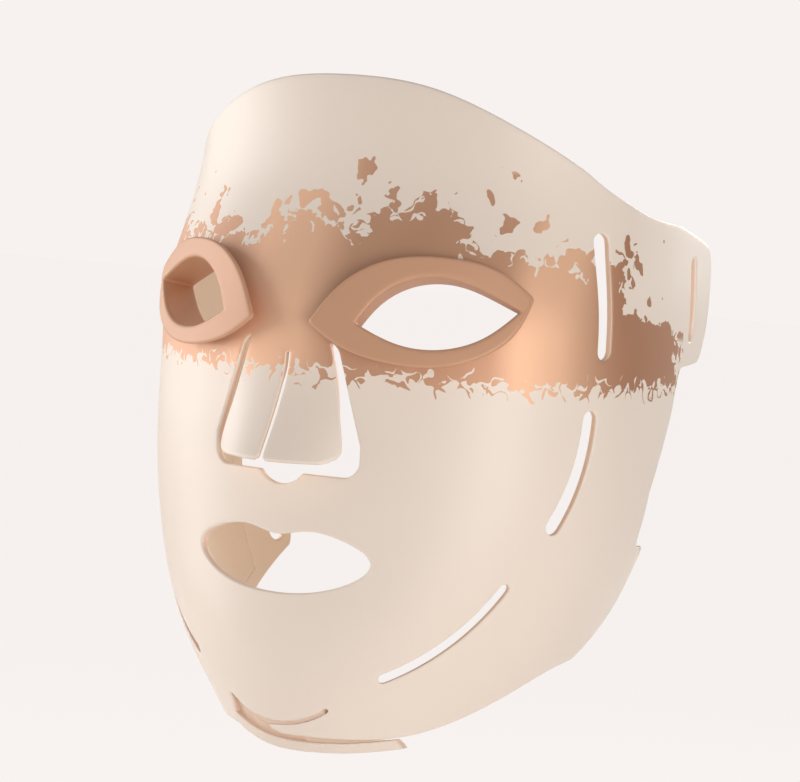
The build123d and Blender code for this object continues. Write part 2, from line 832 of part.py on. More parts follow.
with BuildPart() as eye_shield_right:
    add(mirror(eye_shield_left.part, Plane.YZ, mode=Mode.PRIVATE))

pieces = {
    "front_skin": front_skin,
    "back_skin": back_skin,
    "flex_circuit": flex_circuit,
    "red_leds": red_leds,
    "amber_leds": amber_leds,
    "infrared_leds": infrared_leds,
    "chip_resistors": chip_resistors,
    "inlet_case": inlet_case,
    "inlet_shell": inlet_shell,
    "inlet_board": inlet_board,
    "inlet_tongue": inlet_tongue,
    "inlet_contacts": inlet_contacts,
    "eye_shield_left": eye_shield_left,
    "eye_shield_right": eye_shield_right,
}
for name, piece in pieces.items():
    piece.part.label = name
    export_step(piece.part, f"parts/{name}.step")
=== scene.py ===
import math

import bmesh
import bpy
import numpy as np
from mathutils import Matrix, Vector


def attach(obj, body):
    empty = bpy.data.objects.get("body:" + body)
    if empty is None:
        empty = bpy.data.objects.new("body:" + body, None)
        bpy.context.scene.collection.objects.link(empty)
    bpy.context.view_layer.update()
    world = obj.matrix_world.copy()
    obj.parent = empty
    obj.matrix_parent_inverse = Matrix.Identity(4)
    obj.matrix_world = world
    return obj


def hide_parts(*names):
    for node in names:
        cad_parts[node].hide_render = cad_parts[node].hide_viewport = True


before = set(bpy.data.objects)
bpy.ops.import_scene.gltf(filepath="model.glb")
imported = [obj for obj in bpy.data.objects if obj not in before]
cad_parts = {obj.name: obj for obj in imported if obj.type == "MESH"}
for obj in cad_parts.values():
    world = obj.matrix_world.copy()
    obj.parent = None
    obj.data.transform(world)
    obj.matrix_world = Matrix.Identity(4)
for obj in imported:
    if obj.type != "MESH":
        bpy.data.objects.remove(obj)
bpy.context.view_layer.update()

# All sizes are in millimetres, as in the part's source, and meshes are scaled by MM when they are made.
# The mask faces -Y, +X is the wearer's left and +Z is up.
MM = 0.001

# Camera: directions in degrees, distance and sight point of the fitted view, in the frame
CAMERA_AZIMUTH = 32.98
CAMERA_ELEVATION = 4.73
CAMERA_ROLL = -3.28
CAMERA_DISTANCE = 975.8
CAMERA_OFFSET = (37.33, -17.87)
CAMERA_FIT_SHIFT = 9.5
CAMERA_LENS, CAMERA_SENSOR = 144.9, 36.0
CAMERA_CLIP = (0.01, 50.0)

# Level lines of the form: height, half width, bow of the front, front line and bow of the rear
LEVELS = np.array([
    (92.2, 73.6, 42.5, 22.1, 138.0),
    (75.0, 76.0, 47.0, 18.3, 138.0),
    (45.1, 80.1, 55.3, 12.9, 138.0),
    (27.5, 81.8, 59.2, 5.5, 138.0),
    (10.0, 83.4, 62.8, -1.8, 138.0),
    (-10.0, 83.6, 63.8, -3.0, 127.0),
    (-29.9, 83.6, 64.4, -3.7, 113.2),
    (-69.9, 78.2, 65.2, -4.8, 84.2),
    (-105.0, 61.9, 68.5, -4.8, 69.0),
    (-122.0, 51.3, 72.0, 0.5, 60.7),
    (-140.0, 41.0, 72.8, 6.6, 55.2),
])
REAR_TURN = 46.0

# Sheet: thickness, depths of the skin's thin wall and of the lining, and the rims that hold the lining
SHEET = 2.4
FRONT_WALL = 0.95
LINING_OUTER = 1.15
RIM = 4.5
OPENING_RIM = 3.0
LINING_GAP = 0.02
LINING_REAR_Y = 80.0
REACH = 120.0

# Mesh: grid, rounding of the edges, blending of the nose, and limits of the calculations
GRID = 1.2
EDGE_ROUND = 0.6
EDGE_TURNS = (22.5, 45, 67.5, 90)
LINING_ROUND = 0.1
NOSE_BLEND = 0.7
STRAP_VOXEL, STRAP_PASSES = 0.35, 6
SHEET_LOW, SHEET_HIGH = -131.0, 83.0
SNAP_SHARE, SNAP_LIMIT = 0.35, 0.4
CUT_SNAP = 0.02
SLOPE_STEP = 0.3
SLOPE_RANGE = (0.25, 1.5)
STEEPEST = 0.1
BATCH = 20000
TINY, TINIER, TINIEST = 1e-6, 1e-9, 1e-12

# Where each opening's distance is computed; elsewhere it is taken as far off
FAR = 60.0
NEAR_MARGIN = 12.0
SIDE_START = 10.0
EYE_NEAR, EYE_AROUND = 25.0, 45.0
MIDDLE_BREADTH, CHIN_BREADTH = 50.0, 40.0
MOUTH_TOP, CHIN_TOP = -45.0, -95.0
NOSE_NEAR, NOSE_SLIT_NEAR = (-65.0, 15.0), (-40.0, 10.0)

# Outlines, as in the part's source; a slot is a line, its turn about Z in degrees and its width
CROWN = [(0, 79.3), (32.2, 75.9), (54.7, 66.4), (73.2, 52.9), (82.0, 42.0)]
SIDE_TOP = [(39.5, 64.0), (47.7, 53.0), (64.0, 43.6), (97.5, 37.8)]
SIDE_REAR = [(137.0, 29.5), (137.5, -7.2), (101.5, -7.4), (97.7, -21.1)]
SIDE_REAR_RADII = [10.0, 10.0, 5.0, 5.0]
SIDE_CHEEK = (85.0, -46.1)
SIDE_JAW_TAB = [(83.2, -64.0), (102.5, -65.8), (97.0, -80.5)]
JAW_TAB_RADIUS = 4.0
SIDE_JAW = [(69.5, -100.2), (58.5, -102.4), (41.6, -112.5), (21.8, -122.8), (0, -124.4)]
SLOTS = [
    ([(49.1, 32.6), (48.1, 17.0), (47.7, -0.7)], 0.0, 5.2),
    ([(70.7, -21.2), (67.6, -38.0), (60.6, -54.2)], 22.0, 5.2),
    ([(63.8, -73.6), (47.4, -91.7), (29.3, -103.4)], 45.0, 3.0),
]
STRAP_SLOTS = [((110.5, 14.0), 27.0, 5.4), ((92.6, -72.8), 13.0, 4.4)]
MOUTH_UPPER = [(0, -62.0), (10.0, -60.3), (20.5, -61.3), (27.5, -63.9), (31.0, -66.5), (31.9, -68.0)]
MOUTH_LOWER = [(31.9, -68.0), (31.3, -70.1), (28.3, -73.2), (22.0, -76.4), (10.0, -79.3), (0, -79.9)]
NOSTRIL = [(8.0, -42.8), (26.6, -42.8), (26.6, -33.0), (17.0, -2.0)]
NOSTRIL_RADII = [5.0, 5.0, 5.0]
SEPTUM_NOTCH_Z = -46.6
CHIN_SLIT = [(-18.0, -115.0), (0, -121.0), (18.0, -115.0)]
CHIN_SLIT_GAP = 1.2
NEAR_STRAP_END = -11.0
NEAR_STRAP_POINT = 13.0
NEAR_STRAP_LIFT = 3.4
NEAR_STRAP_TIP = 2.6
BLADE_WIDTH = 2.4
BLADE_INSET = 0.7
BLADE_SHORT = 1.0
# Least depth share given to the chin straps, which tints them with the walls' colour as painted shade below
# the chin
STRAP_SHADE = 0.17
FAR_STRAP = [(-27.0, -118.5), (-13.5, -124.3), (-3.0, -127.1), (10.0, -127.8), (22.0, -127.3), (33.0, -125.7)]
FAR_STRAP_WIDTH = 3.4
STRAP_GAP = 0.25
STRAP_FLOOR_DEPTH = 15.0
STRAP_FLOOR_THICKNESS = 1.8
STRAP_LIP = 0.4
TONGUE_WIDTH = 9.2
TONGUE_DROP = 1.5
TONGUE_THICKNESS = 1.2
TONGUE_LAP = 0.4

# Lamps behind the lining: reach of one lamp's points, and the dome over it
LAMP_REACH = 5.0
DOME_RADIUS = 3.2
DOME_RISE = 0.5

# Nose flaps: height, half breadth and how far the ridge stands off the face
NOSE = np.array([
    (5.0, 13.0, -0.7),
    (-3.0, 15.0, -0.45),
    (-10.0, 16.9, 0.4),
    (-22.0, 19.8, 4.2),
    (-30.0, 21.8, 7.6),
    (-38.4, 23.4, 11.7),
])
NOSE_SHEET = 1.6
NOSE_OPEN, NOSE_OPEN_TOP = 2.8, -10.0
NOSE_SLIT = 1.7
NOSE_SLIT_TOP = -6.0
NOSE_SLIT_BELOW = 12.0
NOSE_ROOT = 8.0
NOSE_END_ROOM, NOSE_END_FADE = 3.5, 2.0
NOSE_BREADTH, NOSE_BELOW = 40.0, -9.0
NOSE_SIDE_FALL, NOSE_TOP_FALL = 3.0, 0.25
THIN_LIFT, PLAIN_LIFT, RAISED_LIFT = 2.0, 0.2, 1.5
FACE_BREADTH = 60.0
ARC_LIMIT = 0.98
FLAP_CORNER = 5.0

# Eye openings and shields
EYE_X, EYE_Z = 45.3, 8.1
EYE_SET_IN = 2.3
EYE_TURN, EYE_TILT, EYE_LEAN = 28.0, 8.5, 11.0
EYE_LENGTH, EYE_HEIGHT = 48.0, 21.0
EYE_TOP = [(-0.5, 0), (-0.365, 0.30), (-0.133, 0.53), (0.129, 0.49), (0.39, 0.18), (0.53, -0.03)]
EYE_LOW = [(0.53, -0.03), (0.285, -0.38), (0.01, -0.49), (-0.227, -0.38), (-0.44, -0.10), (-0.5, 0)]
TUNNEL_WALL = 1.6
SHIELD_FIT = 0.45
TUNNEL_DEPTH = 10.5
FLANGE_LENGTH, FLANGE_HEIGHT = 69.0, 34.0
FLANGE_SET, FLANGE_RISE = -4.3, 1.3
FLANGE_THICKNESS = 1.5
FLANGE_GAP = 0.4
FLANGE_NOSE_DROP, FLANGE_TEMPLE_DROP = 3.4, 4.2
SHIELD_NECK = 0.6
SHIELD_UNDER, SHIELD_OVER, SHIELD_BORE = (0.05, 0.6), (0.7, 0.3), (0.25, 0.5, 0.75)
SHIELD_LIP = [(0.9, 0), (0.45, 0.12), (0.12, 0.45), (0, 0.9)]
FLANGE_TOP = [(-0.5, 0.02), (-0.33, 0.34), (-0.119, 0.497), (0.128, 0.474), (0.367, 0.303), (0.5, 0.05)]
FLANGE_LOW = [(0.5, 0.05), (0.403, -0.26), (0.122, -0.497), (-0.151, -0.43), (-0.394, -0.19), (-0.5, 0.02)]


def srgb(*values):
    """Linear colour of an 8-bit display colour, by the sRGB curve."""
    shares = [value / 255 for value in values]
    return (*[c / 12.92 if c <= 0.04045 else ((c + 0.055) / 1.055) ** 2.4 for c in shares], 1.0)


def unit(vectors):
    """Vectors scaled to a length of one."""
    lengths = np.linalg.norm(vectors, axis=-1)
    return vectors / np.maximum(lengths, TINY)[..., None]


def cubic(knots, values, at):
    """Natural cubic spline through values at rising knots."""
    knots, values, at = (np.asarray(v, float) for v in (knots, values, at))
    steps = np.diff(knots)
    wide = values.ndim > 1
    slopes = np.diff(values, axis=0) / (steps[:, None] if wide else steps)
    count = len(knots)
    system, right = np.eye(count), np.zeros_like(values)
    for i in range(1, count - 1):
        system[i, i - 1 : i + 2] = steps[i - 1], 2 * (steps[i - 1] + steps[i]), steps[i]
        right[i] = 6 * (slopes[i] - slopes[i - 1])
    bends = np.linalg.solve(system, right)
    cell = np.clip(np.searchsorted(knots, at) - 1, 0, count - 2)
    low, high, step = at - knots[cell], knots[cell + 1] - at, steps[cell]
    if wide:
        low, high, step = low[:, None], high[:, None], step[:, None]
    curve = (bends[cell] * high**3 + bends[cell + 1] * low**3) / (6 * step)
    curve = curve + (values[cell] / step - bends[cell] * step / 6) * high
    return curve + (values[cell + 1] / step - bends[cell + 1] * step / 6) * low


def spline(points, count=40):
    """Points along a smooth curve through the given ones."""
    points = np.asarray(points, float)
    knots = np.concatenate([[0], np.cumsum(np.linalg.norm(np.diff(points, axis=0), axis=1))])
    return cubic(knots, points, np.linspace(0, knots[-1], count))


def rounded(points, radii, steps=8):
    """Runs between the given corners, with each inner corner rounded by its radius."""
    points = [np.array(p, float) for p in points]
    made = [points[0]]
    for before, corner, after, radius in zip(points, points[1:], points[2:], radii):
        to_before, to_after = unit(before - corner), unit(after - corner)
        half = math.acos(float(np.clip(to_before @ to_after, -1, 1))) / 2
        reach = radius / math.tan(half)
        start, end = corner + to_before * reach, corner + to_after * reach
        middle = corner + unit(to_before + to_after) * radius / math.sin(half)
        for share in np.linspace(0, 1, steps):
            made.append(middle + unit(start + (end - start) * share - middle) * radius)
    made.append(points[-1])
    return np.array(made)


def arc_through(points, count=24):
    """Points along the circle through three points."""
    (ax, ay), (bx, by), (cx, cy) = points
    turn = 2 * (ax * (by - cy) + bx * (cy - ay) + cx * (ay - by))
    a2, b2, c2 = ax * ax + ay * ay, bx * bx + by * by, cx * cx + cy * cy
    centre = np.array([
        (a2 * (by - cy) + b2 * (cy - ay) + c2 * (ay - by)) / turn,
        (a2 * (cx - bx) + b2 * (ax - cx) + c2 * (bx - ax)) / turn,
    ])
    angles = np.unwrap([math.atan2(y - centre[1], x - centre[0]) for x, y in points])
    radius = math.hypot(ax - centre[0], ay - centre[1])
    way = np.linspace(angles[0], angles[2], count)
    return centre + radius * np.stack([np.cos(way), np.sin(way)], 1)


def ways_of(line, width):
    """Directions along a line at its points, and half the width across it."""
    along = unit(np.gradient(line, axis=0))
    return along, np.stack([-along[:, 1], along[:, 0]], 1) * width / 2


def band(line, width, round_ends=True):
    """Closed outline of a band of constant width along a line."""
    line = np.asarray(line, float)
    along, side = ways_of(line, width)
    ends = []
    for tip, way in ((line[-1], along[-1]), (line[0], -along[0])):
        turn = math.atan2(way[1], way[0]) + math.pi / 2 - np.linspace(0, math.pi, 10)[1:-1]
        ends.append(tip + width / 2 * np.stack([np.cos(turn), np.sin(turn)], 1))
    if not round_ends:
        return np.concatenate([line + side, (line - side)[::-1]])
    return np.concatenate([line + side, ends[0], (line - side)[::-1], ends[1]])


def level(z):
    """Half width, front bow, front line and rear bow of the form at heights."""
    rows = LEVELS[::-1]
    return cubic(rows[:, 0], rows[:, 1:], np.clip(z, rows[0, 0], rows[-1, 0])).T


def form_point(turn, z, inset):
    """Point of the form at a turn from the middle line in degrees, a height and a depth below its face."""
    width, bow, front, rear = level(z)
    angle = np.radians(turn)
    behind = np.abs(angle) > math.pi / 2
    x = (width - inset) * np.sin(angle)
    y_front = front + bow - (bow - inset) * np.cos(angle)
    y_rear = front + bow - (rear - inset) * np.cos(angle)
    return np.stack([x, np.where(behind, y_rear, y_front), z], -1)


def face_y(x, z):
    """Depth of the outer face at a place of the front view."""
    width, bow, front = level(np.atleast_1d(np.asarray(z, float)))[:3]
    return front + bow - bow * np.sqrt(1 - (np.asarray(x) / width) ** 2)


def form_depth(points):
    """Depth below the outer face, in millimetres, of points in millimetres."""
    width, bow, front, rear = level(points[:, 2])
    along = points[:, 1] - front - bow
    reach = np.where(along > 0, rear, bow)
    ratio = np.sqrt((points[:, 0] / width) ** 2 + (along / reach) ** 2)
    size = np.sqrt(points[:, 0] ** 2 + along**2) / np.maximum(ratio, TINY)
    return (1 - ratio) * size


def put(name, data):
    """New object in the scene with the given data."""
    made = bpy.data.objects.new(name, data)
    bpy.context.collection.objects.link(made)
    return made


def new_object(name, points, faces):
    """Mesh object from points in millimetres."""
    mesh = bpy.data.meshes.new(name)
    mesh.from_pydata([tuple(p) for p in np.asarray(points) * MM], [], faces)
    mesh.update()
    return put(name, mesh)


def grid_faces(rows, columns, closed=False, start=0):
    """Quads of a grid of points that is stored row by row."""
    spots = np.arange(rows * columns).reshape(rows, columns) + start
    if closed:
        spots = np.concatenate([spots, spots[:, :1]], 1)
    corners = np.stack([spots[:-1, :-1], spots[:-1, 1:], spots[1:, 1:], spots[1:, :-1]], -1)
    return [tuple(int(n) for n in face) for face in corners.reshape(-1, 4)]


def turned_out(made):
    """Makes all normals of a closed mesh point outwards."""
    work = bmesh.new()
    work.from_mesh(made.data)
    bmesh.ops.recalc_face_normals(work, faces=work.faces)
    work.to_mesh(made.data)
    work.free()
    return made


def slab(name, outer, inner):
    """Closed solid between two grids of points of the same size."""
    rows, columns = outer.shape[:2]
    points = np.concatenate([outer.reshape(-1, 3), inner.reshape(-1, 3)])
    half = rows * columns
    faces = grid_faces(rows, columns) + [f[::-1] for f in grid_faces(rows, columns, start=half)]
    spots = np.arange(half).reshape(rows, columns)
    ring = [int(n) for n in (*spots[0, :-1], *spots[:-1, -1], *spots[-1, :0:-1], *spots[:0:-1, 0])]
    faces += [(b, a, a + half, b + half) for a, b in zip(ring, ring[1:] + ring[:1])]
    return turned_out(new_object(name, points, faces))


def mirrored(outline):
    """Outline mirrored left to right."""
    return (np.asarray(outline) * (-1, 1))[::-1]


def eye_axes(side):
    """Origin of an eye opening and its directions along, up and out; side is 1 for the wearer's left."""
    turn, tilt, lean = (math.radians(v) for v in (EYE_TURN, EYE_TILT, EYE_LEAN))
    along = np.array([math.cos(turn) * math.cos(tilt), math.sin(turn) * math.cos(tilt), math.sin(tilt)])
    facing = np.array([math.sin(turn) * math.cos(lean), -math.cos(turn) * math.cos(lean), math.sin(lean)])
    out = unit(np.cross(along, np.cross(facing, along)))
    up = np.cross(out, along)
    origin = np.array([EYE_X, face_y(EYE_X, EYE_Z)[0], EYE_Z]) - out * EYE_SET_IN
    flip = np.array([side, 1, 1])
    return origin * flip, along * flip, up * flip, out * flip


def almond(length, height, top, low, centre=(0, 0), count=48):
    """Closed almond outline through shares of its length and height."""
    scale = np.array([length, height])
    over = spline(np.array(top) * scale + centre, count)
    under = spline(np.array(low) * scale + centre, count)
    return np.concatenate([over[:-1], under[:-1]])


def mouth_outline():
    """Closed outline of the mouth opening."""
    top = spline(np.concatenate([mirrored(MOUTH_UPPER[1:]), MOUTH_UPPER]), 60)
    bottom = spline(np.concatenate([MOUTH_LOWER, mirrored(MOUTH_LOWER[:-1])]), 60)
    return np.concatenate([top[:-1], bottom[:-1]])


def nostril_outline():
    """Closed outline of the opening round the nose flaps."""
    foot_x, foot_z = NOSTRIL[0]
    right = rounded([*NOSTRIL, (0, NOSTRIL[-1][1])], NOSTRIL_RADII)
    notch = arc_through([(-foot_x, foot_z), (0, SEPTUM_NOTCH_Z), (foot_x, foot_z)], 16)
    return np.concatenate([right[:-1], mirrored(right)[:-1], notch[:-1]])


def side_outline():
    """Closed side view of the edge, reaching far out in front and above."""
    top = spline(SIDE_TOP, 30)
    rear = rounded([SIDE_TOP[-1], *SIDE_REAR, SIDE_CHEEK], SIDE_REAR_RADII)
    heel = rounded([SIDE_CHEEK, *SIDE_JAW_TAB, SIDE_JAW[0]], [JAW_TAB_RADIUS] * 3)
    jaw = spline(SIDE_JAW, 40)
    far = [(-REACH, SIDE_JAW[-1][1]), (-REACH, REACH), (0, REACH)]
    return np.concatenate([top[:-1], rear[:-1], heel[:-1], jaw, far])


def crown_outline():
    """Closed front view of the crown line, reaching far out to the sides and below."""
    arch = spline(np.concatenate([mirrored(CROWN[1:]), CROWN]), 60)
    far = [(REACH, CROWN[-1][1]), (REACH, -2 * REACH), (-REACH, -2 * REACH), (-REACH, CROWN[-1][1])]
    return np.concatenate([arch, far])


def distance(points, outline):
    """Signed distance to a closed outline in its plane, positive outside of it."""
    starts = np.asarray(outline, float)
    ends = np.roll(starts, -1, axis=0)
    ways = ends - starts
    lengths = np.maximum((ways**2).sum(1), TINIEST)
    result = np.empty(len(points))
    for low in range(0, len(points), BATCH):
        part = points[low : low + BATCH]
        gap = part[:, None, :] - starts[None]
        share = np.clip((gap * ways).sum(2) / lengths, 0, 1)
        near = np.sqrt(((gap - share[..., None] * ways) ** 2).sum(2)).min(1)
        above = (starts[:, 1] > part[:, 1:2]) != (ends[:, 1] > part[:, 1:2])
        drop = np.where(np.abs(ways[:, 1]) < TINIEST, TINIEST, ways[:, 1])
        cross = starts[:, 0] + (part[:, 1:2] - starts[:, 1]) * ways[:, 0] / drop
        inside = (above & (part[:, :1] < cross)).sum(1) % 2 == 1
        result[low : low + BATCH] = np.where(inside, -near, near)
    return result


def distance_in(points, outline, where):
    """Signed distance at the places where it matters, and a large one elsewhere."""
    result = np.full(len(points), FAR)
    if where.any():
        result[where] = distance(points[where], outline)
    return result


def within(points, outline):
    """Tells which points lie in the box round an outline, with a margin."""
    return ((points > outline.min(0) - NEAR_MARGIN) & (points < outline.max(0) + NEAR_MARGIN)).all(1)


def slot_bands(side):
    """Each long slot: outline, direction across the side view and sign of x."""
    for line, turn, width in SLOTS:
        angle = math.radians(turn)
        yield band(arc_through(line), width), np.array([side * math.sin(angle), math.cos(angle), 0])


def face_near(x, z):
    """Depth of the outer face where it isn't too steep, and the last one of those further out."""
    return face_y(np.clip(x, -FACE_BREADTH, FACE_BREADTH), z)


def nose_off(x, z):
    """How far the nose flaps stand off the face at a place of the front view, negative where below it."""
    rows = NOSE[::-1]
    at = np.clip(z, rows[0, 0], rows[-1, 0])
    half, rise = cubic(rows[:, 0], rows[:, 1:], at).T
    front_y = face_y(0 * at, at) - rise
    spread = NOSE_OPEN * np.clip((NOSE_OPEN_TOP - at) / (NOSE_OPEN_TOP - rows[0, 0]), 0, 1)
    sag = face_y(half, at) + np.maximum(-rise, 0) - front_y - spread
    radius = (half**2 + sag**2) / (2 * sag)
    side = np.clip(x, -ARC_LIMIT * radius, ARC_LIMIT * radius)
    nose_y = front_y + radius - np.sqrt(radius**2 - side**2) + np.abs(x - side) * NOSE_SIDE_FALL
    off = face_near(x, at) - nose_y - np.maximum(z - rows[-1, 0], 0) * NOSE_TOP_FALL
    return np.where(np.abs(x) > NOSE_BREADTH, NOSE_BELOW, off)


def nose_lift(x, z):
    """Height of the sheet above the face near the nose, blended softly at the root."""
    off = nose_off(x, z)
    lift = (off + np.sqrt(off**2 + NOSE_BLEND**2)) / 2
    return lift * np.clip((z - NOSE[-1, 0] + NOSE_END_ROOM) / NOSE_END_FADE, 0, 1)


def sheet_point(turn, z, inset):
    """Point of the sheet with the nose flaps at a depth below its outer face."""
    points, outer = form_point(turn, z, inset), form_point(turn, z, 0.0)
    lift = np.where(np.abs(turn) < 90, nose_lift(outer[:, 0], z), 0.0)
    thin = 1 - (1 - NOSE_SHEET / SHEET) * np.clip(lift / THIN_LIFT, 0, 1)
    share = np.clip((lift - PLAIN_LIFT) / RAISED_LIFT, 0, 1)[:, None]
    raise_by = np.stack([0 * lift, lift, 0 * lift], -1)
    plain = points - raise_by
    if np.max(inset) <= 0:
        return plain
    x, step = outer[:, 0], SLOPE_STEP

    def slope(x_step, z_step):
        """Slope of the raised face's depth along x or z."""
        lifts = [nose_lift(x + x_step * way, z + z_step * way) for way in (1, -1)]
        faces = [face_near(x + x_step * way, z + z_step * way) for way in (1, -1)]
        return (lifts[0] - lifts[1]) / (2 * step) - (faces[0] - faces[1]) / (2 * step)

    normal = unit(np.stack([-slope(step, 0), -np.ones_like(x), -slope(0, step)], -1))
    raised = outer - raise_by - normal * (inset * thin)[:, None]
    return plain * (1 - share) + raised * share


class Sheet:
    """Even grid over the curled form, with fields that tell how far a place is from the sheet's edges."""

    def __init__(self):
        fine = np.linspace(0, 90 + REAR_TURN, 2000)
        path = form_point(fine, 0 * fine, 0)
        run = np.concatenate([[0], np.cumsum(np.linalg.norm(np.diff(path, axis=0), axis=1))])
        half = round(run[-1] / GRID)
        right = np.interp(np.linspace(0, run[-1], half + 1), run, fine)
        self.turns = np.concatenate([-right[:0:-1], right])
        self.heights = np.arange(SHEET_LOW, SHEET_HIGH, GRID)
        rows, columns = len(self.heights), len(self.turns)
        places = np.stack(np.meshgrid(np.arange(columns), np.arange(rows)), -1)
        self.place = places.reshape(-1, 2).astype(float)
        self.shape = (rows, columns)
        quads = np.array(grid_faces(rows, columns))
        self.faces = np.concatenate([quads[:, [0, 1, 2]], quads[:, [0, 2, 3]]])
        self.points = self.at(self.place, 0.0)
        self.edge, self.wall = self.fields()
        self.snap()

    def turn_and_height(self, place):
        """Turns and heights at places of the grid."""
        turn = np.interp(place[:, 0], np.arange(len(self.turns)), self.turns)
        return turn, self.heights[0] + place[:, 1] * GRID

    def at(self, place, inset):
        """Points of the sheet at places of the grid and depths below the outer face."""
        turn, z = self.turn_and_height(place)
        return sheet_point(turn, z, np.broadcast_to(np.asarray(inset, float), z.shape))

    def slopes(self, field):
        """Gradient of a field in space, and the grid steps that lead along it."""
        rows, columns = self.shape
        points = self.points.reshape(rows, columns, 3)
        down, along = np.gradient(points, axis=(0, 1))
        field_down, field_along = np.gradient(field.reshape(rows, columns), axis=(0, 1))
        aa, ad, dd = (along**2).sum(-1), (along * down).sum(-1), (down**2).sum(-1)
        size = np.maximum(aa * dd - ad**2, TINIER)
        step_along = (dd * field_along - ad * field_down) / size
        step_down = (aa * field_down - ad * field_along) / size
        slope = step_along[..., None] * along + step_down[..., None] * down
        return slope.reshape(-1, 3), np.stack([step_along, step_down], -1).reshape(-1, 2)

    def even(self, field):
        """Field rescaled so that it measures distance along the sheet near its zero line."""
        return field / np.clip(np.linalg.norm(self.slopes(field)[0], axis=1), *SLOPE_RANGE)

    def fields(self):
        """Distance inside the sheet's edges, and distance inside the room for the lining."""
        turn, z = self.turn_and_height(self.place)
        flat = form_point(turn, z, 0.0)
        front = np.abs(turn) < 90
        side_view, front_view = flat[:, 1:], flat[:, ::2]
        outer = self.even(-distance(side_view, side_outline()))
        outer = np.minimum(outer, self.even(-distance(front_view, crown_outline())))
        near_middle = np.abs(flat[:, 0])
        middle, low = front & (near_middle < MIDDLE_BREADTH), front & (z < CHIN_TOP)
        openings = np.full(len(flat), FAR)
        grow = 2 * (TUNNEL_WALL + SHIELD_FIT)
        eye = almond(EYE_LENGTH + grow, EYE_HEIGHT + grow, EYE_TOP, EYE_LOW)
        cuts = []
        for side in (1, -1):
            own = flat[:, 0] * side > SIDE_START
            origin, along, up, out = eye_axes(side)
            plane = np.stack([(flat - origin) @ along, (flat - origin) @ up], -1)
            near = (np.abs((flat - origin) @ out) < EYE_NEAR) & (np.abs(plane) < EYE_AROUND).all(1)
            cuts.append((plane, eye, own & near))
            for shape, across in slot_bands(side):
                plane = np.stack([flat @ across, flat[:, 2]], -1)
                cuts.append((plane, shape, own & within(plane, shape)))
            for (y, z_middle), length, width in STRAP_SLOTS:
                reach = (length - width) / 2
                shape = band(np.linspace((y, z_middle + reach), (y, z_middle - reach), 6), width)
                cuts.append((side_view, shape, own & within(side_view, shape)))
        slit = band(arc_through(CHIN_SLIT), CHIN_SLIT_GAP)
        cuts.append((front_view, mouth_outline(), middle & (z < MOUTH_TOP)))
        cuts.append((front_view, slit, low & (near_middle < CHIN_BREADTH)))
        for plane, shape, near in cuts:
            openings = np.minimum(openings, self.even(distance_in(plane, shape, near)))
        for shape in chin_outlines():
            outer = np.minimum(outer, self.even(distance_in(front_view, shape, low)))
        nose_near = middle & (z > NOSE_NEAR[0]) & (z < NOSE_NEAR[1])
        nostril = self.even(distance_in(front_view, nostril_outline(), nose_near))
        wall = np.minimum(outer - RIM, np.minimum(openings, nostril) - OPENING_RIM)
        wall = np.minimum(wall, LINING_REAR_Y - flat[:, 1])
        flap = self.even(-distance_in(front_view, flap_outline(), nose_near))
        nose = np.maximum(nostril, np.where(nose_near, flap, -FAR))
        right = [(NOSE_SLIT / 2, NOSE_SLIT_TOP), (NOSE_SLIT / 2, NOSE[-1, 0] - NOSE_SLIT_BELOW)]
        gap = np.concatenate([right, mirrored(right)])
        slit_near = middle & (z > NOSE_SLIT_NEAR[0]) & (z < NOSE_SLIT_NEAR[1])
        nose = np.minimum(nose, self.even(distance_in(front_view, gap, slit_near)))
        return np.minimum(np.minimum(outer, openings), nose), wall

    def snap(self):
        """Moves grid places that are close to the edge onto it, so that no thin triangles are cut."""
        slope, steps = self.slopes(self.edge)
        size = np.maximum((slope**2).sum(1), STEEPEST)
        off = self.edge - EDGE_ROUND
        close = np.abs(off) < SNAP_SHARE * GRID
        move = np.clip(-(off / size)[:, None] * steps, -SNAP_LIMIT, SNAP_LIMIT)
        self.place[close] += move[close]
        self.points = self.at(self.place, 0.0)
        self.edge[close] = EDGE_ROUND


def split(faces, values, level, carry):
    """Cuts triangles along a level of a field. Returns faces above and below it and the grown values."""
    field = values - level
    field = np.where(np.abs(field) < CUT_SNAP, 0.0, field)
    sign = np.sign(field)[faces]
    above = (sign >= 0).all(1) & (sign > 0).any(1)
    below = (sign <= 0).all(1)
    high, low = [tuple(f) for f in faces[above]], [tuple(f) for f in faces[below]]
    made, first = {}, len(field)

    def cut(a, b):
        """Number of the new point on an edge."""
        return made.setdefault((min(a, b), max(a, b)), first + len(made))

    for face in faces[~(above | below)]:
        a, b, c = (int(v) for v in face)
        while not (field[a] > 0 and field[b] <= 0) and not (field[a] == 0 and field[b] > 0):
            a, b, c = b, c, a
        for way, kept in ((1, high), (-1, low)):
            ring = []
            for start, end in ((a, b), (b, c), (c, a)):
                if field[start] * way >= 0:
                    ring.append(start)
                if field[start] * field[end] < 0:
                    ring.append(cut(start, end))
            kept.extend((ring[0], *pair) for pair in zip(ring[1:], ring[2:]))
    pairs = np.array(list(made), dtype=int).reshape(-1, 2)
    share = field[pairs[:, 0]] / (field[pairs[:, 0]] - field[pairs[:, 1]])
    grown = []
    for value in carry:
        added = value[pairs[:, 0]].T * (1 - share) + value[pairs[:, 1]].T * share
        grown.append(np.concatenate([value, added.T]))
    return np.array(high, dtype=int), np.array(low, dtype=int), grown


def open_edges(faces):
    """Directed edges that belong to one triangle only."""
    edges = np.concatenate([faces[:, [0, 1]], faces[:, [1, 2]], faces[:, [2, 0]]])
    keys = {(int(a), int(b)) for a, b in edges}
    return [(a, b) for a, b in keys if (b, a) not in keys]


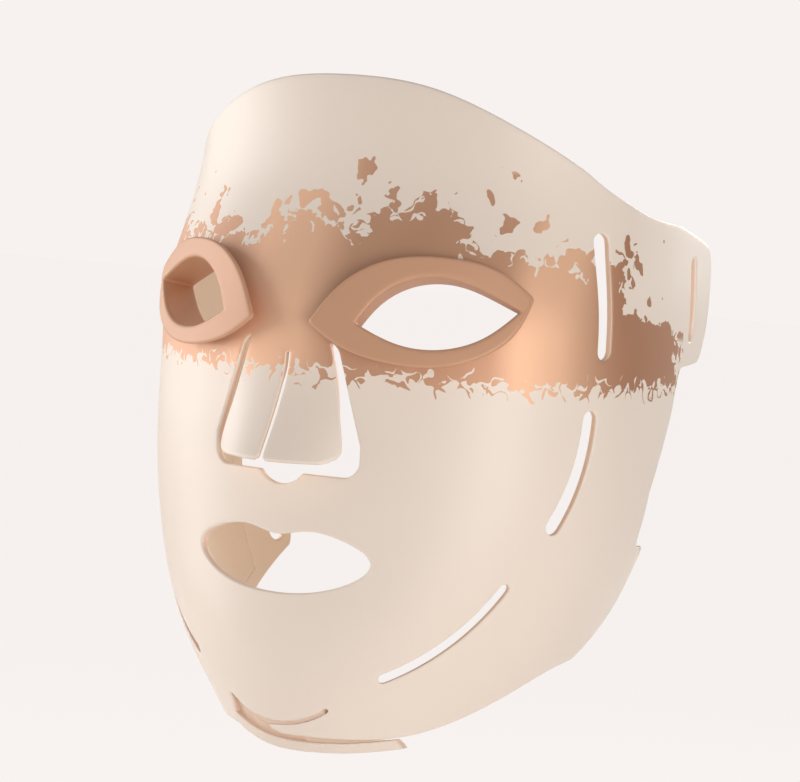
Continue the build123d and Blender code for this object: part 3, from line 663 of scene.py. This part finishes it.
class Shell:
    """Collects rows of points and faces of one closed shell."""

    def __init__(self):
        self.points = []
        self.depths = []
        self.faces = []
        self.count = 0

    def row(self, points, depth):
        """Adds points of one depth and returns the number of the first one."""
        self.points.append(points)
        self.depths.append(np.full(len(points), depth))
        self.count += len(points)
        return self.count - len(points)

    def layer(self, points_at, faces, depth, flip=False):
        """Adds triangles with their points and returns the points' new order and the first one's number."""
        names = np.unique(faces)
        order = {int(n): i for i, n in enumerate(names)}
        first = self.row(points_at(names), depth)
        self.faces.extend(tuple(order[int(v)] + first for v in (f[::-1] if flip else f)) for f in faces)
        return order, first

    def strip(self, edges, row, next_row):
        """Joins two rows along directed edges of the first one; a row is an order and a first number."""
        (order_a, first_a), (order_b, first_b) = row, next_row
        for a, b in edges:
            upper = (order_a[b] + first_a, order_a[a] + first_a)
            self.faces.append((*upper, order_b[a] + first_b, order_b[b] + first_b))

    def finished(self, name):
        """Mesh object of the shell, smooth all over."""
        return smooth_all(new_object(name, np.concatenate(self.points), self.faces))


def edge_rows(sheet, shell, place, slope, faces, depths, rounding, top_row, low_row):
    """Rounded strip round all open edges between two depths and the rows of points that lie there."""
    top, bottom = depths
    edges = open_edges(faces)
    names = sorted({n for edge in edges for n in edge})
    order = {n: i for i, n in enumerate(names)}
    out = -unit(slope[names])
    high, low = sheet.at(place[names], top), sheet.at(place[names], bottom)
    way = unit(low - high)
    angles = np.radians(EDGE_TURNS)
    profile = [(rounding * (1 - math.cos(a)), rounding * math.sin(a), True) for a in angles]
    profile += [(*step[:2], False) for step in profile[::-1]]
    previous = top_row
    for depth, reach, upper in profile:
        base = high + way * depth if upper else low - way * depth
        first = shell.row(base + out * reach, top + depth if upper else bottom - depth)
        shell.strip(edges, previous, (order, first))
        previous = (order, first)
    shell.strip(edges, previous, low_row)


def smooth_all(made):
    """Shades all faces of an object smooth."""
    made.data.polygons.foreach_set("use_smooth", [True] * len(made.data.polygons))
    return made


def make_skin_sheet(sheet):
    """Outer skin: a full rim round a thin wall that covers the circuit."""
    carry = [sheet.place, sheet.wall, sheet.slopes(sheet.edge)[0]]
    outer, cut_off, carry = split(sheet.faces, sheet.edge, EDGE_ROUND, carry)
    shell = Shell()
    top_row = shell.layer(lambda names: sheet.at(carry[0][names], 0.0), outer, 0.0)
    deep, rim, (place, wall, slope) = split(outer, carry[1], 0.0, carry)
    rim_row = shell.layer(lambda names: sheet.at(place[names], SHEET), rim, SHEET, True)
    deep_row = shell.layer(lambda names: sheet.at(place[names], FRONT_WALL), deep, SHEET, True)
    shell.strip([(b, a) for a, b in open_edges(deep)], rim_row, deep_row)
    edge_rows(sheet, shell, place, slope, outer, (0.0, SHEET), EDGE_ROUND, top_row, rim_row)
    return shell.finished("front_skin_soft"), np.concatenate(shell.depths)


def mesh_points(made):
    """Points of an object's mesh in millimetres."""
    points = np.empty(len(made.data.vertices) * 3, dtype=np.float32)
    made.data.vertices.foreach_get("co", points)
    return points.reshape(-1, 3).astype(float) / MM


def add_values(made, name, values):
    """Keeps a value at each point of an object, for its material."""
    layer = made.data.attributes.new(name, "FLOAT", "POINT")
    layer.data.foreach_set("value", values.astype(np.float32))


def lamp_centres():
    """Middle points of the lamps that the frame keeps, in millimetres."""
    centres = []
    for node in ("red_leds", "amber_leds", "infrared_leds"):
        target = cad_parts[node]
        points = np.array([target.matrix_world @ vertex.co for vertex in target.data.vertices]) / MM
        while len(points):
            near = np.linalg.norm(points - points[0], axis=1) < LAMP_REACH
            centres.append((points[near].min(0) + points[near].max(0)) / 2)
            points = points[~near]
    return np.array(centres)


def lamp_distance(points):
    """Distance of points from the nearest lamp."""
    nearest = np.full(len(points), FAR)
    for centre in lamp_centres():
        nearest = np.minimum(nearest, np.linalg.norm(points - centre, axis=1))
    return nearest


def make_lining(sheet):
    """Inner silicone lining that lies in the skin's rim, with a low dome over each lamp."""
    carry = [sheet.place, sheet.slopes(sheet.wall)[0]]
    faces, cut_off, (place, slope) = split(sheet.faces, sheet.wall, LINING_GAP + LINING_ROUND, carry)

    def domed(names):
        """Points of the wearer's side."""
        off = lamp_distance(sheet.at(place[names], SHEET))
        dome = DOME_RISE * np.sqrt(np.clip(1 - (off / DOME_RADIUS) ** 2, 0, 1))
        return sheet.at(place[names], SHEET + dome)

    shell = Shell()
    top_row = shell.layer(lambda names: sheet.at(place[names], LINING_OUTER), faces, SHEET)
    low_row = shell.layer(domed, faces, SHEET, True)
    edge_rows(sheet, shell, place, slope, faces, (LINING_OUTER, SHEET), LINING_ROUND, top_row, low_row)
    made = shell.finished("back_skin_soft")
    add_values(made, "lamp", lamp_distance(mesh_points(made)))
    return made


def flap_outline():
    """Closed front view of both nose flaps with their root."""
    z = np.linspace(NOSE[0, 0] + NOSE_ROOT, NOSE[-1, 0], 60)
    rows = NOSE[::-1]
    half = cubic(rows[:, 0], rows[:, 1], np.clip(z, rows[0, 0], rows[-1, 0]))
    corner = np.clip(FLAP_CORNER - (z - NOSE[-1, 0]), 0, FLAP_CORNER)
    reach = half - (FLAP_CORNER - np.sqrt(FLAP_CORNER**2 - corner**2))
    right = np.stack([reach, z], -1)
    return np.concatenate([right, mirrored(right)])


def chin_outlines():
    """Front views of the cuts that free the near strap of the chin."""
    x, z = CHIN_SLIT[0]
    low = FAR_STRAP[1][1] - FAR_STRAP_WIDTH
    slit = spline(CHIN_SLIT, 60)
    tip_z = np.interp(NEAR_STRAP_END, slit[:, 0], slit[:, 1])
    foot = NEAR_STRAP_END + NEAR_STRAP_POINT
    foot_z = CHIN_SLIT[1][1] - NEAR_STRAP_LIFT
    tip = (NEAR_STRAP_END, tip_z - NEAR_STRAP_TIP)
    wedge = np.array([(x, z), tip, (foot, foot_z), (foot, low), (x, low)])
    line = spline(FAR_STRAP, 60)
    line = line[line[:, 0] > x]
    return [wedge, band(line, FAR_STRAP_WIDTH + 2 * STRAP_GAP, round_ends=False)]


def strap_solids():
    """Front band, floor and tongue of the chin strap that crosses below the jaw."""
    line = spline(FAR_STRAP, 70)
    drop = (FAR_STRAP_WIDTH - STRAP_FLOOR_THICKNESS) / 2 - STRAP_LIP
    floor = line[(line[:, 0] > FAR_STRAP[1][0]) & (line[:, 0] < FAR_STRAP[-2][0])] - (0, drop)
    tongue = spline(CHIN_SLIT, 50) - (0, TONGUE_DROP)
    slit = spline(CHIN_SLIT, 60)
    blade = slit[(slit[:, 0] > NEAR_STRAP_END) & (slit[:, 0] < CHIN_SLIT[-1][0] - BLADE_SHORT)]
    bands = [
        (line, FAR_STRAP_WIDTH, 0, SHEET),
        (blade, BLADE_WIDTH, BLADE_INSET, SHEET),
        (floor, STRAP_FLOOR_THICKNESS, 0, STRAP_FLOOR_DEPTH),
        (tongue, TONGUE_WIDTH, SHEET - TONGUE_LAP, SHEET + TONGUE_THICKNESS),
    ]
    solids = []
    for middle, width, outer_inset, inner_inset in bands:
        side = ways_of(middle, width)[1]
        flat = np.stack([middle + side, middle, middle - side])
        rows = []
        for inset in (outer_inset, inner_inset):
            x, z = flat[..., 0], flat[..., 1]
            width_at, bow, front = (v.reshape(z.shape) for v in level(z.ravel())[:3])
            share = np.clip(x / (width_at - inset), -ARC_LIMIT, ARC_LIMIT)
            y = front + bow - (bow - inset) * np.sqrt(1 - share**2)
            rows.append(np.stack([x, y, z], -1))
        solids.append(slab("strap", *rows))
    return solids


def joined(name, parts):
    """One object from several, which are used up."""
    work = bmesh.new()
    for part in parts:
        work.from_mesh(part.data)
    mesh = bpy.data.meshes.new(name)
    work.to_mesh(mesh)
    work.free()
    for part in parts:
        bpy.data.objects.remove(part)
    return put(name, mesh)


def apply_stack(made):
    """Replaces an object's mesh by its mesh with all modifiers applied."""
    graph = bpy.context.evaluated_depsgraph_get()
    mesh = bpy.data.meshes.new_from_object(made.evaluated_get(graph))
    made.modifiers.clear()
    made.data = mesh
    return made


def softened(made, voxel, passes):
    """Remeshes a small solid evenly and rounds its edges."""
    remesh = made.modifiers.new("remesh", "REMESH")
    remesh.mode = "VOXEL"
    remesh.voxel_size = voxel * MM
    smooth = made.modifiers.new("smooth", "SMOOTH")
    smooth.factor = 0.5
    smooth.iterations = passes
    return smooth_all(apply_stack(made))


def make_skin(sheet):
    """Outer silicone skin with the nose flaps and the chin straps."""
    straps = softened(joined("straps", strap_solids()), STRAP_VOXEL, STRAP_PASSES)
    skin, depths = make_skin_sheet(sheet)
    made = joined("front_skin_soft", [skin, straps])
    strap_points = mesh_points(made)[len(depths):]
    # Straps are given at least this depth, so they take some of the walls' colour as painted shade
    strap_depth = np.maximum(form_depth(strap_points), STRAP_SHADE * SHEET)
    depth = np.concatenate([depths, strap_depth])
    add_values(made, "depth", np.clip(depth / SHEET, 0, 1))
    return made


def between(a, b, share):
    """Outline or value at a share of the way from one to another."""
    return a + (b - a) * share


def make_shield(side, name):
    """Eye shield: a bowed flange with a tunnel, built from loops round the opening."""
    origin, along, up, out = eye_axes(side)
    crest = EYE_SET_IN + FLANGE_GAP
    nose_u, temple_u = FLANGE_SET - FLANGE_LENGTH / 2, FLANGE_SET + FLANGE_LENGTH / 2
    bow = arc_through([(nose_u, -FLANGE_NOSE_DROP), (0, 0), (temple_u, -FLANGE_TEMPLE_DROP)], 60)
    wall = 2 * TUNNEL_WALL
    hole = almond(EYE_LENGTH, EYE_HEIGHT, EYE_TOP, EYE_LOW)
    tube = almond(EYE_LENGTH + wall, EYE_HEIGHT + wall, EYE_TOP, EYE_LOW)
    edge = almond(FLANGE_LENGTH, FLANGE_HEIGHT, FLANGE_TOP, FLANGE_LOW, (FLANGE_SET, FLANGE_RISE))
    soft = FLANGE_THICKNESS / 2
    loops = []

    def loop(outline, depth, bowed=True):
        """Adds a loop at a depth along the normal, on the flange's bow where that is asked for."""
        height = depth + (np.interp(outline[:, 0], *bow.T) if bowed else np.zeros(len(outline)))
        loops.append(origin + outline[:, :1] * along + outline[:, 1:] * up + np.outer(height, out))

    foot = -TUNNEL_DEPTH + TUNNEL_WALL / 2
    for turns, way in ((np.linspace(0, 90, 4), 1), (np.linspace(60, 0, 3), -1)):
        for turn in np.radians(turns):
            share = 0.5 + way * math.cos(turn) / 2
            loop(between(tube, hole, share), foot - math.sin(turn) * TUNNEL_WALL / 2, False)
    loop(tube, crest - SHIELD_NECK)
    for share in SHIELD_UNDER:
        loop(between(tube, edge, share), crest)
    inner_edge = edge + (edge.mean(0) - edge) * soft / (FLANGE_HEIGHT / 2)
    for turn in np.radians(np.linspace(-90, 90, 7)):
        loop(between(inner_edge, edge, math.cos(turn)), crest + soft + soft * math.sin(turn))
    top = crest + FLANGE_THICKNESS
    for share in SHIELD_OVER:
        loop(between(tube, edge, share), top)
    for share, drop in SHIELD_LIP:
        loop(between(hole, tube, share), top - drop)
    lip = top - SHIELD_LIP[-1][1]
    for share in SHIELD_BORE:
        loop(hole, lip * (1 - share) + foot * share, False)
    count = len(hole)
    faces = grid_faces(len(loops), count, closed=True)
    last = (len(loops) - 1) * count
    faces += [(last + c, last + (c + 1) % count, (c + 1) % count, c) for c in range(count)]
    made = smooth_all(turned_out(new_object(name, np.concatenate(loops), faces)))
    subdivide = made.modifiers.new("subdivide", "SUBSURF")
    subdivide.levels = subdivide.render_levels = 1
    return apply_stack(made)


# Sockets of the mix node that carry colours
MIX_SHARE, MIX_FIRST, MIX_SECOND, MIX_RESULT = 0, 6, 7, 2


class Value:
    """Output of a node that can be calculated with."""

    def __init__(self, nodes, socket):
        self.nodes, self.socket = nodes, socket

    def __add__(self, other):
        return self.nodes.math("ADD", self, other)

    def __sub__(self, other):
        return self.nodes.math("SUBTRACT", self, other)

    def __rsub__(self, other):
        return self.nodes.math("SUBTRACT", other, self)

    def __mul__(self, other):
        return self.nodes.math("MULTIPLY", self, other)

    def __abs__(self):
        return self.nodes.math("ABSOLUTE", self)


class Nodes:
    """Small helper that builds a material's node tree."""

    def __init__(self, name):
        self.material = bpy.data.materials.new(name)
        self.material.use_nodes = True
        self.tree = self.material.node_tree
        self.shader = self.tree.nodes["Principled BSDF"]
        self.position = self.add("ShaderNodeTexCoord", result="Object")

    def add(self, kind, values=(), result=0, **settings):
        """Adds a node with settings, feeds its sockets by name or number and returns one output."""
        node = self.tree.nodes.new(kind)
        for key, value in settings.items():
            setattr(node, key, value)
        for socket, value in values:
            self.feed(node.inputs[socket], value)
        return Value(self, node.outputs[result])

    def feed(self, socket, value):
        """Links a value to a socket, or sets a number or colour on it."""
        if isinstance(value, Value):
            self.tree.links.new(value.socket, socket)
        else:
            socket.default_value = value

    def math(self, operation, *values):
        return self.add("ShaderNodeMath", enumerate(values), operation=operation)

    def least(self, a, b):
        return self.math("MINIMUM", a, b)

    def most(self, a, b):
        return self.math("MAXIMUM", a, b)

    def attribute(self, name):
        return self.add("ShaderNodeAttribute", result="Fac", attribute_name=name)

    def places(self):
        """The position's x, y and z in metres."""
        part = self.add("ShaderNodeSeparateXYZ", ((0, self.position),))
        return [Value(self, output) for output in part.socket.node.outputs]

    def noise(self, per_mm, detail=2.0, rough=0.5, shift=(0, 0, 0)):
        place = self.add("ShaderNodeVectorMath", ((0, self.position), (1, shift)), operation="ADD")
        values = (("Scale", per_mm / MM), ("Detail", detail), ("Roughness", rough), ("Vector", place))
        return self.add("ShaderNodeTexNoise", values, "Fac")

    def mix(self, share, a, b):
        values = ((MIX_SHARE, share), (MIX_FIRST, a), (MIX_SECOND, b))
        return self.add("ShaderNodeMix", values, MIX_RESULT, data_type="RGBA")

    def ramp(self, *values):
        """Smooth step from the first number to the second, and from the third value to the fourth."""
        return self.add("ShaderNodeMapRange", enumerate(values), interpolation_type="SMOOTHSTEP")

    def bump(self, height, strength, distance_mm):
        values = (("Strength", strength), ("Distance", distance_mm * MM), ("Height", height))
        self.set(Normal=self.add("ShaderNodeBump", values))

    def set(self, **values):
        """Feeds the shader's sockets."""
        for key, value in values.items():
            self.feed(self.shader.inputs[key.replace("_", " ")], value)


# Looks of the silicone: colours, with painted shade as the colour of the cut walls, ramps over the sheet's
# depth for its outside, wall and inside, and finish
CREAM, CREAM_DEEP = srgb(247, 234, 222), srgb(243, 228, 214)
TAN, TAN_DEEP, WINDOW = srgb(249, 227, 204), srgb(245, 221, 197), srgb(236, 196, 164)
# Colour of the cut walls and rims, darker than the cream and the tan: painted shade
EDGE_SHADE = srgb(230, 202, 182)
ROSE, ROSE_LIT = srgb(206, 156, 124), srgb(214, 166, 134)
OUTSIDE, WALL, INSIDE = (0.15, 0.07), (0.1, 0.35), (0.75, 0.97)
SKIN_CLOUD, SKIN_GRAIN, SKIN_SPECKLE, SKIN_ROUGH, SKIN_SHEEN = 0.012, 1.6, 0.10, 0.36, 0.15
SKIN_GRAIN_HEIGHT, SKIN_RELIEF = 0.12, (0.25, 0.05)
LINING_CLOUD, LINING_GRAIN, LINING_SPECKLE = 0.02, 1.2, 0.12
PLAIN_LOOKS = {"blotch": 2.0, "grain": 2.0, "speckle": 0.1, "relief": (0.15, 0.02)}
SOFT_RELIEF = (0.2, 0.05)
WINDOW_FADE, WINDOW_SHARE = 0.5, 0.75
WINDOW_ROUGH = (0.0, 1.0, 0.40, 0.16)
SHIELD_FINISH = (0.44, 0.1)
SHIELD_LOOKS = {"blotch": 0.03, "grain": 1.8, "speckle": 0.12, "relief": SOFT_RELIEF}

# Looks of the foil: its own colour, a painted highlight colour and a painted shade colour
GOLD_LIT, GOLD_MID, GOLD_SHADE = srgb(244, 196, 162), srgb(204, 156, 126), srgb(178, 122, 84)
FOIL_METAL, FOIL_ROUGH, FOIL_HEIGHT = 0.35, 0.14, 0.6
WORN_NOISE, WORN = (0.02, 2.0), (0.35, 0.68, 0.0, 0.25)
# Painted highlights beside the nose and on the cheekbone round CREST_X, and painted shade towards the temple
NOSE_LIT, BROW_LIT = (0.018, -0.002), (-0.032, -0.014, 0.1, 1.0)
CREST_X, CREST_LIT = 0.0712, (0.012, 0.003, 0.0, 0.9)
TEMPLE_SHADE = (0.040, 0.066, 0.0, 0.85)

# Foil band in metres: ramps are from, to, value before and value after
FOIL_RISE, FOIL_BROW = (-0.024, -0.010, 0.0265, 0.0345), (0.017, 0.024, 0.0, 0.006)
FOIL_FALL, FOIL_LOW = (0.038, 0.056, 0.0, -0.0145), (0.050, 0.083, -0.0115, -0.0125)
FOIL_FAR_END, FOIL_NEAR_END = (-0.02, 0.02, 0.060, 0.0), (0.003, 0.012, 0.098, 0.056)
FOIL_MIDDLE = (-0.02, 0.02)
FOIL_SHARP = (-0.00004, 0.00004)
BARE, BARE_INSIDE = (0.0, 0.0036, 0.050, -0.002), (-0.0001, 0.0)
ADDED = (-0.0040, 0.0, -0.002, 0.052)
STROKE, SPOT, SPOT_FOOT = (0.0, 0.002), (0.0, 0.003), (0.0, 0.003)
SPOT_REACH, SPOT_FAR = (-0.026, -0.002, 0.70, 0.575), (-0.030, -0.026)
STROKE_SHIFT = (0.31, 0.17, 0.23)

# Noises of the foil's edge, as scale per millimetre, detail and roughness, and how far each moves it
WAVE_NOISE, COARSE_NOISE, FINE_NOISE = (0.05, 1.0), (0.15, 2.0, 0.5), (0.34, 0.0, 0.4)
CURL_NOISE, STROKE_NOISE, SPOT_NOISE = (0.22, 0.5, 0.4), (0.20, 0.5, 0.4), (0.125, 2.0, 0.5)
WAVE, FRAY_TOP, FRAY_LOW, FRAY_END, FRAY_FINE = 0.008, 0.026, 0.008, 0.040, 0.008


def foil_share(nodes):
    """Share of foil on the skin: a band across the eyes with curled edges and loose flakes."""
    x, y, z = nodes.places()
    wave = (nodes.noise(*WAVE_NOISE) - 0.5) * WAVE
    top = (nodes.ramp(x, *FOIL_RISE) + nodes.ramp(x, *FOIL_BROW)) + (nodes.ramp(x, *FOIL_FALL) + wave)
    over, under = top - z, z - nodes.ramp(x, *FOIL_LOW)
    near_end = nodes.ramp(x, *FOIL_MIDDLE) * nodes.ramp(z, *FOIL_NEAR_END)
    end = nodes.ramp(x, *FOIL_FAR_END) + near_end - y
    coarse = nodes.noise(*COARSE_NOISE) - 0.5
    edge = nodes.least(over + coarse * FRAY_TOP, under + coarse * FRAY_LOW)
    edge = nodes.least(edge, end + coarse * FRAY_END)
    edge = edge + (nodes.noise(*FINE_NOISE) - 0.5) * FRAY_FINE
    curl = abs(nodes.noise(*CURL_NOISE) - 0.5)
    bare = nodes.ramp(nodes.ramp(edge, *BARE) - curl, *STROKE) * nodes.ramp(edge, *BARE_INSIDE)
    stroke = abs(nodes.noise(*STROKE_NOISE, STROKE_SHIFT) - 0.5)
    added = nodes.ramp(nodes.ramp(edge, *ADDED) - stroke, *STROKE)
    body = nodes.most(nodes.ramp(edge, *FOIL_SHARP), added) * (1.0 - bare)
    depth = nodes.least(over, end)
    spots = nodes.ramp(nodes.noise(*SPOT_NOISE) - nodes.ramp(depth, *SPOT_REACH), *SPOT)
    return nodes.most(body, spots * nodes.ramp(depth, *SPOT_FAR) * nodes.ramp(z, *SPOT_FOOT))


def foil_colour_and_painted_light(nodes):
    """Colour of the foil with painted light: painted highlights beside the nose and on the cheekbone, painted
    shade on the temple.
    """
    x, y = nodes.places()[:2]
    worn = nodes.ramp(nodes.noise(*WORN_NOISE), *WORN)
    nose_highlight = nodes.ramp(x, *NOSE_LIT) * nodes.ramp(x, *BROW_LIT)
    crest = nodes.ramp(abs(x - CREST_X), *CREST_LIT)
    # Share of the painted highlight colour: random lighter patches from the worn noise, and the painted
    # highlights
    light = nodes.least(worn + nodes.most(nose_highlight, crest), 1.0)
    # Towards the temple the foil takes the painted shade colour
    return nodes.mix(nodes.ramp(y, *TEMPLE_SHADE), nodes.mix(light, GOLD_MID, GOLD_LIT), GOLD_SHADE)


def skin_material():
    """Satin silicone, cream outside and tan inside, with painted shade on the cut walls, and the foil band
    with its painted highlights and shade.
    """
    nodes = Nodes("silicone_skin")
    depth = nodes.attribute("depth")
    cream = nodes.mix(nodes.noise(SKIN_CLOUD), CREAM, CREAM_DEEP)
    base = nodes.mix(nodes.ramp(depth, *INSIDE), nodes.mix(nodes.ramp(depth, *WALL), cream, EDGE_SHADE), TAN)
    share = foil_share(nodes) * nodes.ramp(depth, *OUTSIDE)
    grain = nodes.noise(SKIN_GRAIN)
    nodes.set(
        Base_Color=nodes.mix(share, base, foil_colour_and_painted_light(nodes)),
        Metallic=share * FOIL_METAL,
        Roughness=grain * SKIN_SPECKLE + (share * FOIL_ROUGH + SKIN_ROUGH),
        Sheen_Weight=SKIN_SHEEN,
    )
    nodes.bump(share * FOIL_HEIGHT + grain * SKIN_GRAIN_HEIGHT, *SKIN_RELIEF)
    return nodes.material


def lining_material():
    """Tan silicone of the lining, with a smoother window over each lamp."""
    nodes = Nodes("silicone_lining")
    base = nodes.mix(nodes.noise(LINING_CLOUD), TAN, TAN_DEEP)
    window = nodes.ramp(nodes.attribute("lamp"), DOME_RADIUS, DOME_RADIUS - WINDOW_FADE)
    grain = nodes.noise(LINING_GRAIN)
    nodes.set(
        Base_Color=nodes.mix(window * WINDOW_SHARE, base, WINDOW),
        Roughness=grain * LINING_SPECKLE + nodes.ramp(window, *WINDOW_ROUGH),
    )
    nodes.bump(grain, *SOFT_RELIEF)
    return nodes.material


def plain_material(name, colour, second, rough, metal, **looks):
    """Moulded or plated surface with a fine grain."""
    looks = {**PLAIN_LOOKS, **looks}
    nodes = Nodes(name)
    fine = nodes.noise(looks["grain"])
    nodes.set(
        Base_Color=nodes.mix(nodes.noise(looks["blotch"]), colour, second),
        Roughness=fine * looks["speckle"] + rough,
        Metallic=metal,
    )
    nodes.bump(fine, *looks["relief"])
    return nodes.material


def dress(made, material):
    """Gives an object one material."""
    made.data.materials.clear()
    made.data.materials.append(material)
    return made


# Looks of the kept nodes: slot, two colours, roughness and metallic share
NODE_LOOKS = {
    "flex_circuit": ("circuit_film", (214, 150, 84), (190, 124, 62), 0.35, 0.0),
    "red_leds": ("led_red", (222, 110, 96), (240, 150, 130), 0.15, 0.0),
    "amber_leds": ("led_amber", (240, 200, 120), (250, 220, 150), 0.15, 0.0),
    "infrared_leds": ("led_dark", (70, 62, 66), (40, 36, 40), 0.15, 0.0),
    "chip_resistors": ("resistor_black", (36, 36, 38), (60, 60, 62), 0.5, 0.0),
    "inlet_case": ("inlet_plastic", (222, 204, 186), (214, 194, 174), 0.4, 0.0),
    "inlet_shell": ("inlet_steel", (190, 190, 192), (160, 160, 164), 0.25, 1.0),
    "inlet_board": ("board_green", (34, 92, 62), (26, 74, 50), 0.4, 0.0),
    "inlet_tongue": ("tongue_black", (30, 30, 32), (40, 40, 42), 0.45, 0.0),
    "inlet_contacts": ("contact_gold", (222, 180, 96), (200, 156, 76), 0.25, 1.0),
}


def dress_frame():
    """Gives the kept CAD nodes their materials."""
    for node, (slot, colour, second, rough, metal) in NODE_LOOKS.items():
        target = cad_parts[node]
        material = plain_material(slot, srgb(*colour), srgb(*second), rough, metal)
        for place in target.material_slots:
            place.material = material


def build_object():
    """Makes the visual pieces, puts them on their bodies and dresses them."""
    sheet = Sheet()
    rose = plain_material("shield_silicone", ROSE, ROSE_LIT, *SHIELD_FINISH, **SHIELD_LOOKS)
    pieces = [
        (make_skin(sheet), skin_material(), "mask", "front_skin", "silicone_skin"),
        (make_lining(sheet), lining_material(), "mask", "back_skin", "silicone_lining"),
    ]
    for side, word in ((1, "left"), (-1, "right")):
        shield = make_shield(side, f"eye_shield_{word}_soft")
        pieces.append((shield, rose, f"{word}_shield", f"eye_shield_{word}", "shield_silicone"))
    for made, material, body, node, slot in pieces:
        dress(made, material)
        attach(made, body)
        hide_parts(node)
    dress_frame()


# Studio: sizes in metres, and strengths that give the camera the backdrop's own colour
FLOOR_DROP = 0.35
STAGE_SIZE = 12.0
BACKDROP = srgb(247, 242, 239)
FLOOR_GLOW, FLOOR_SHARE = 1.027, 0.94
WORLD_COLOUR, WORLD_STRENGTH = (1.0, 0.985, 0.97, 1.0), 0.355
WARM, PALE = (1.0, 0.965, 0.93), (1.0, 0.98, 0.96)
LIGHTS = [
    ("left", (-1.28, 0.20, 0.22), (-0.03, 0.04, 0), 0.7, 3.4, WARM),
    ("front_left", (-1.05, -0.30, 0.06), (0, 0.04, 0), 0.6, 5.5, PALE),
    ("right", (1.02, -0.70, -0.12), (0.04, 0.04, -0.03), 0.6, 7.0, WARM),
    ("inner", (0.05, 1.15, 0.30), (-0.03, 0.03, -0.03), 0.5, 5.6, (1.0, 0.98, 0.95)),
]


def for_camera(tree, plain, seen, share, target):
    """Shows one shader to the camera, by a share, and the plain one to everything else."""
    path, mix = (tree.nodes.new(kind) for kind in ("ShaderNodeLightPath", "ShaderNodeMixShader"))
    part = tree.nodes.new("ShaderNodeMath")
    part.operation = "MULTIPLY"
    part.inputs[1].default_value = share
    tree.links.new(path.outputs["Is Camera Ray"], part.inputs[0])
    for source, socket in zip((part, plain, seen), mix.inputs):
        tree.links.new(source.outputs[0], socket)
    tree.links.new(mix.outputs[0], target.inputs["Surface"])


def stage_material():
    """Pale surface that the camera sees as the backdrop's colour, with soft shadows kept."""
    nodes = Nodes("stage_paper")
    nodes.set(Base_Color=BACKDROP, Roughness=1.0)
    glow = nodes.add("ShaderNodeEmission", (("Color", BACKDROP), ("Strength", FLOOR_GLOW)))
    end = nodes.tree.nodes["Material Output"]
    for_camera(nodes.tree, nodes.shader, glow.socket.node, FLOOR_SHARE, end)
    return nodes.material


def make_floor():
    """Large pale floor below the object."""
    half, low = STAGE_SIZE / MM / 2, -FLOOR_DROP / MM
    corners = [(-half, -half, low), (half, -half, low), (half, half, low), (-half, half, low)]
    dress(new_object("floor", corners, [(0, 1, 2, 3)]), stage_material())


def make_world():
    """Pale surroundings: the backdrop's colour for the camera and softer light for the object."""
    world = bpy.data.worlds.new("studio")
    bpy.context.scene.world = world
    world.use_nodes = True
    tree = world.node_tree
    back, seen = tree.nodes["Background"], tree.nodes.new("ShaderNodeBackground")
    back.inputs["Color"].default_value = WORLD_COLOUR
    back.inputs["Strength"].default_value = WORLD_STRENGTH
    seen.inputs["Color"].default_value = BACKDROP
    for_camera(tree, back, seen, 1.0, tree.nodes["World Output"])


def make_light(name, place, target, size, power, colour):
    """Soft square lamp at a place in metres, turned to a target."""
    lamp = bpy.data.lights.new(name, "AREA")
    lamp.shape, lamp.size, lamp.energy, lamp.color = "SQUARE", size, power, colour
    made = put(name, lamp)
    made.location = place
    made.rotation_mode = "QUATERNION"
    made.rotation_quaternion = (Vector(target) - Vector(place)).to_track_quat("-Z", "Y")


def make_camera():
    """Camera of the fitted view."""
    axes = Matrix.Identity(4)
    for turn, axis in ((CAMERA_AZIMUTH, "Z"), (90 - CAMERA_ELEVATION, "X"), (-CAMERA_ROLL, "Z")):
        axes = axes @ Matrix.Rotation(math.radians(turn), 4, axis)
    place = axes @ Vector((*CAMERA_OFFSET, CAMERA_DISTANCE)) - Vector((0, CAMERA_FIT_SHIFT, 0))
    camera = bpy.data.cameras.new("camera")
    camera.sensor_width, camera.lens = CAMERA_SENSOR, CAMERA_LENS
    camera.clip_start, camera.clip_end = CAMERA_CLIP
    made = put("camera", camera)
    made.matrix_world = Matrix.Translation(place * MM) @ axes
    bpy.context.scene.camera = made


make_camera()
build_object()
make_floor()
make_world()
for light in LIGHTS:
    make_light(*light)
bpy.context.scene.view_settings.view_transform = "Standard"
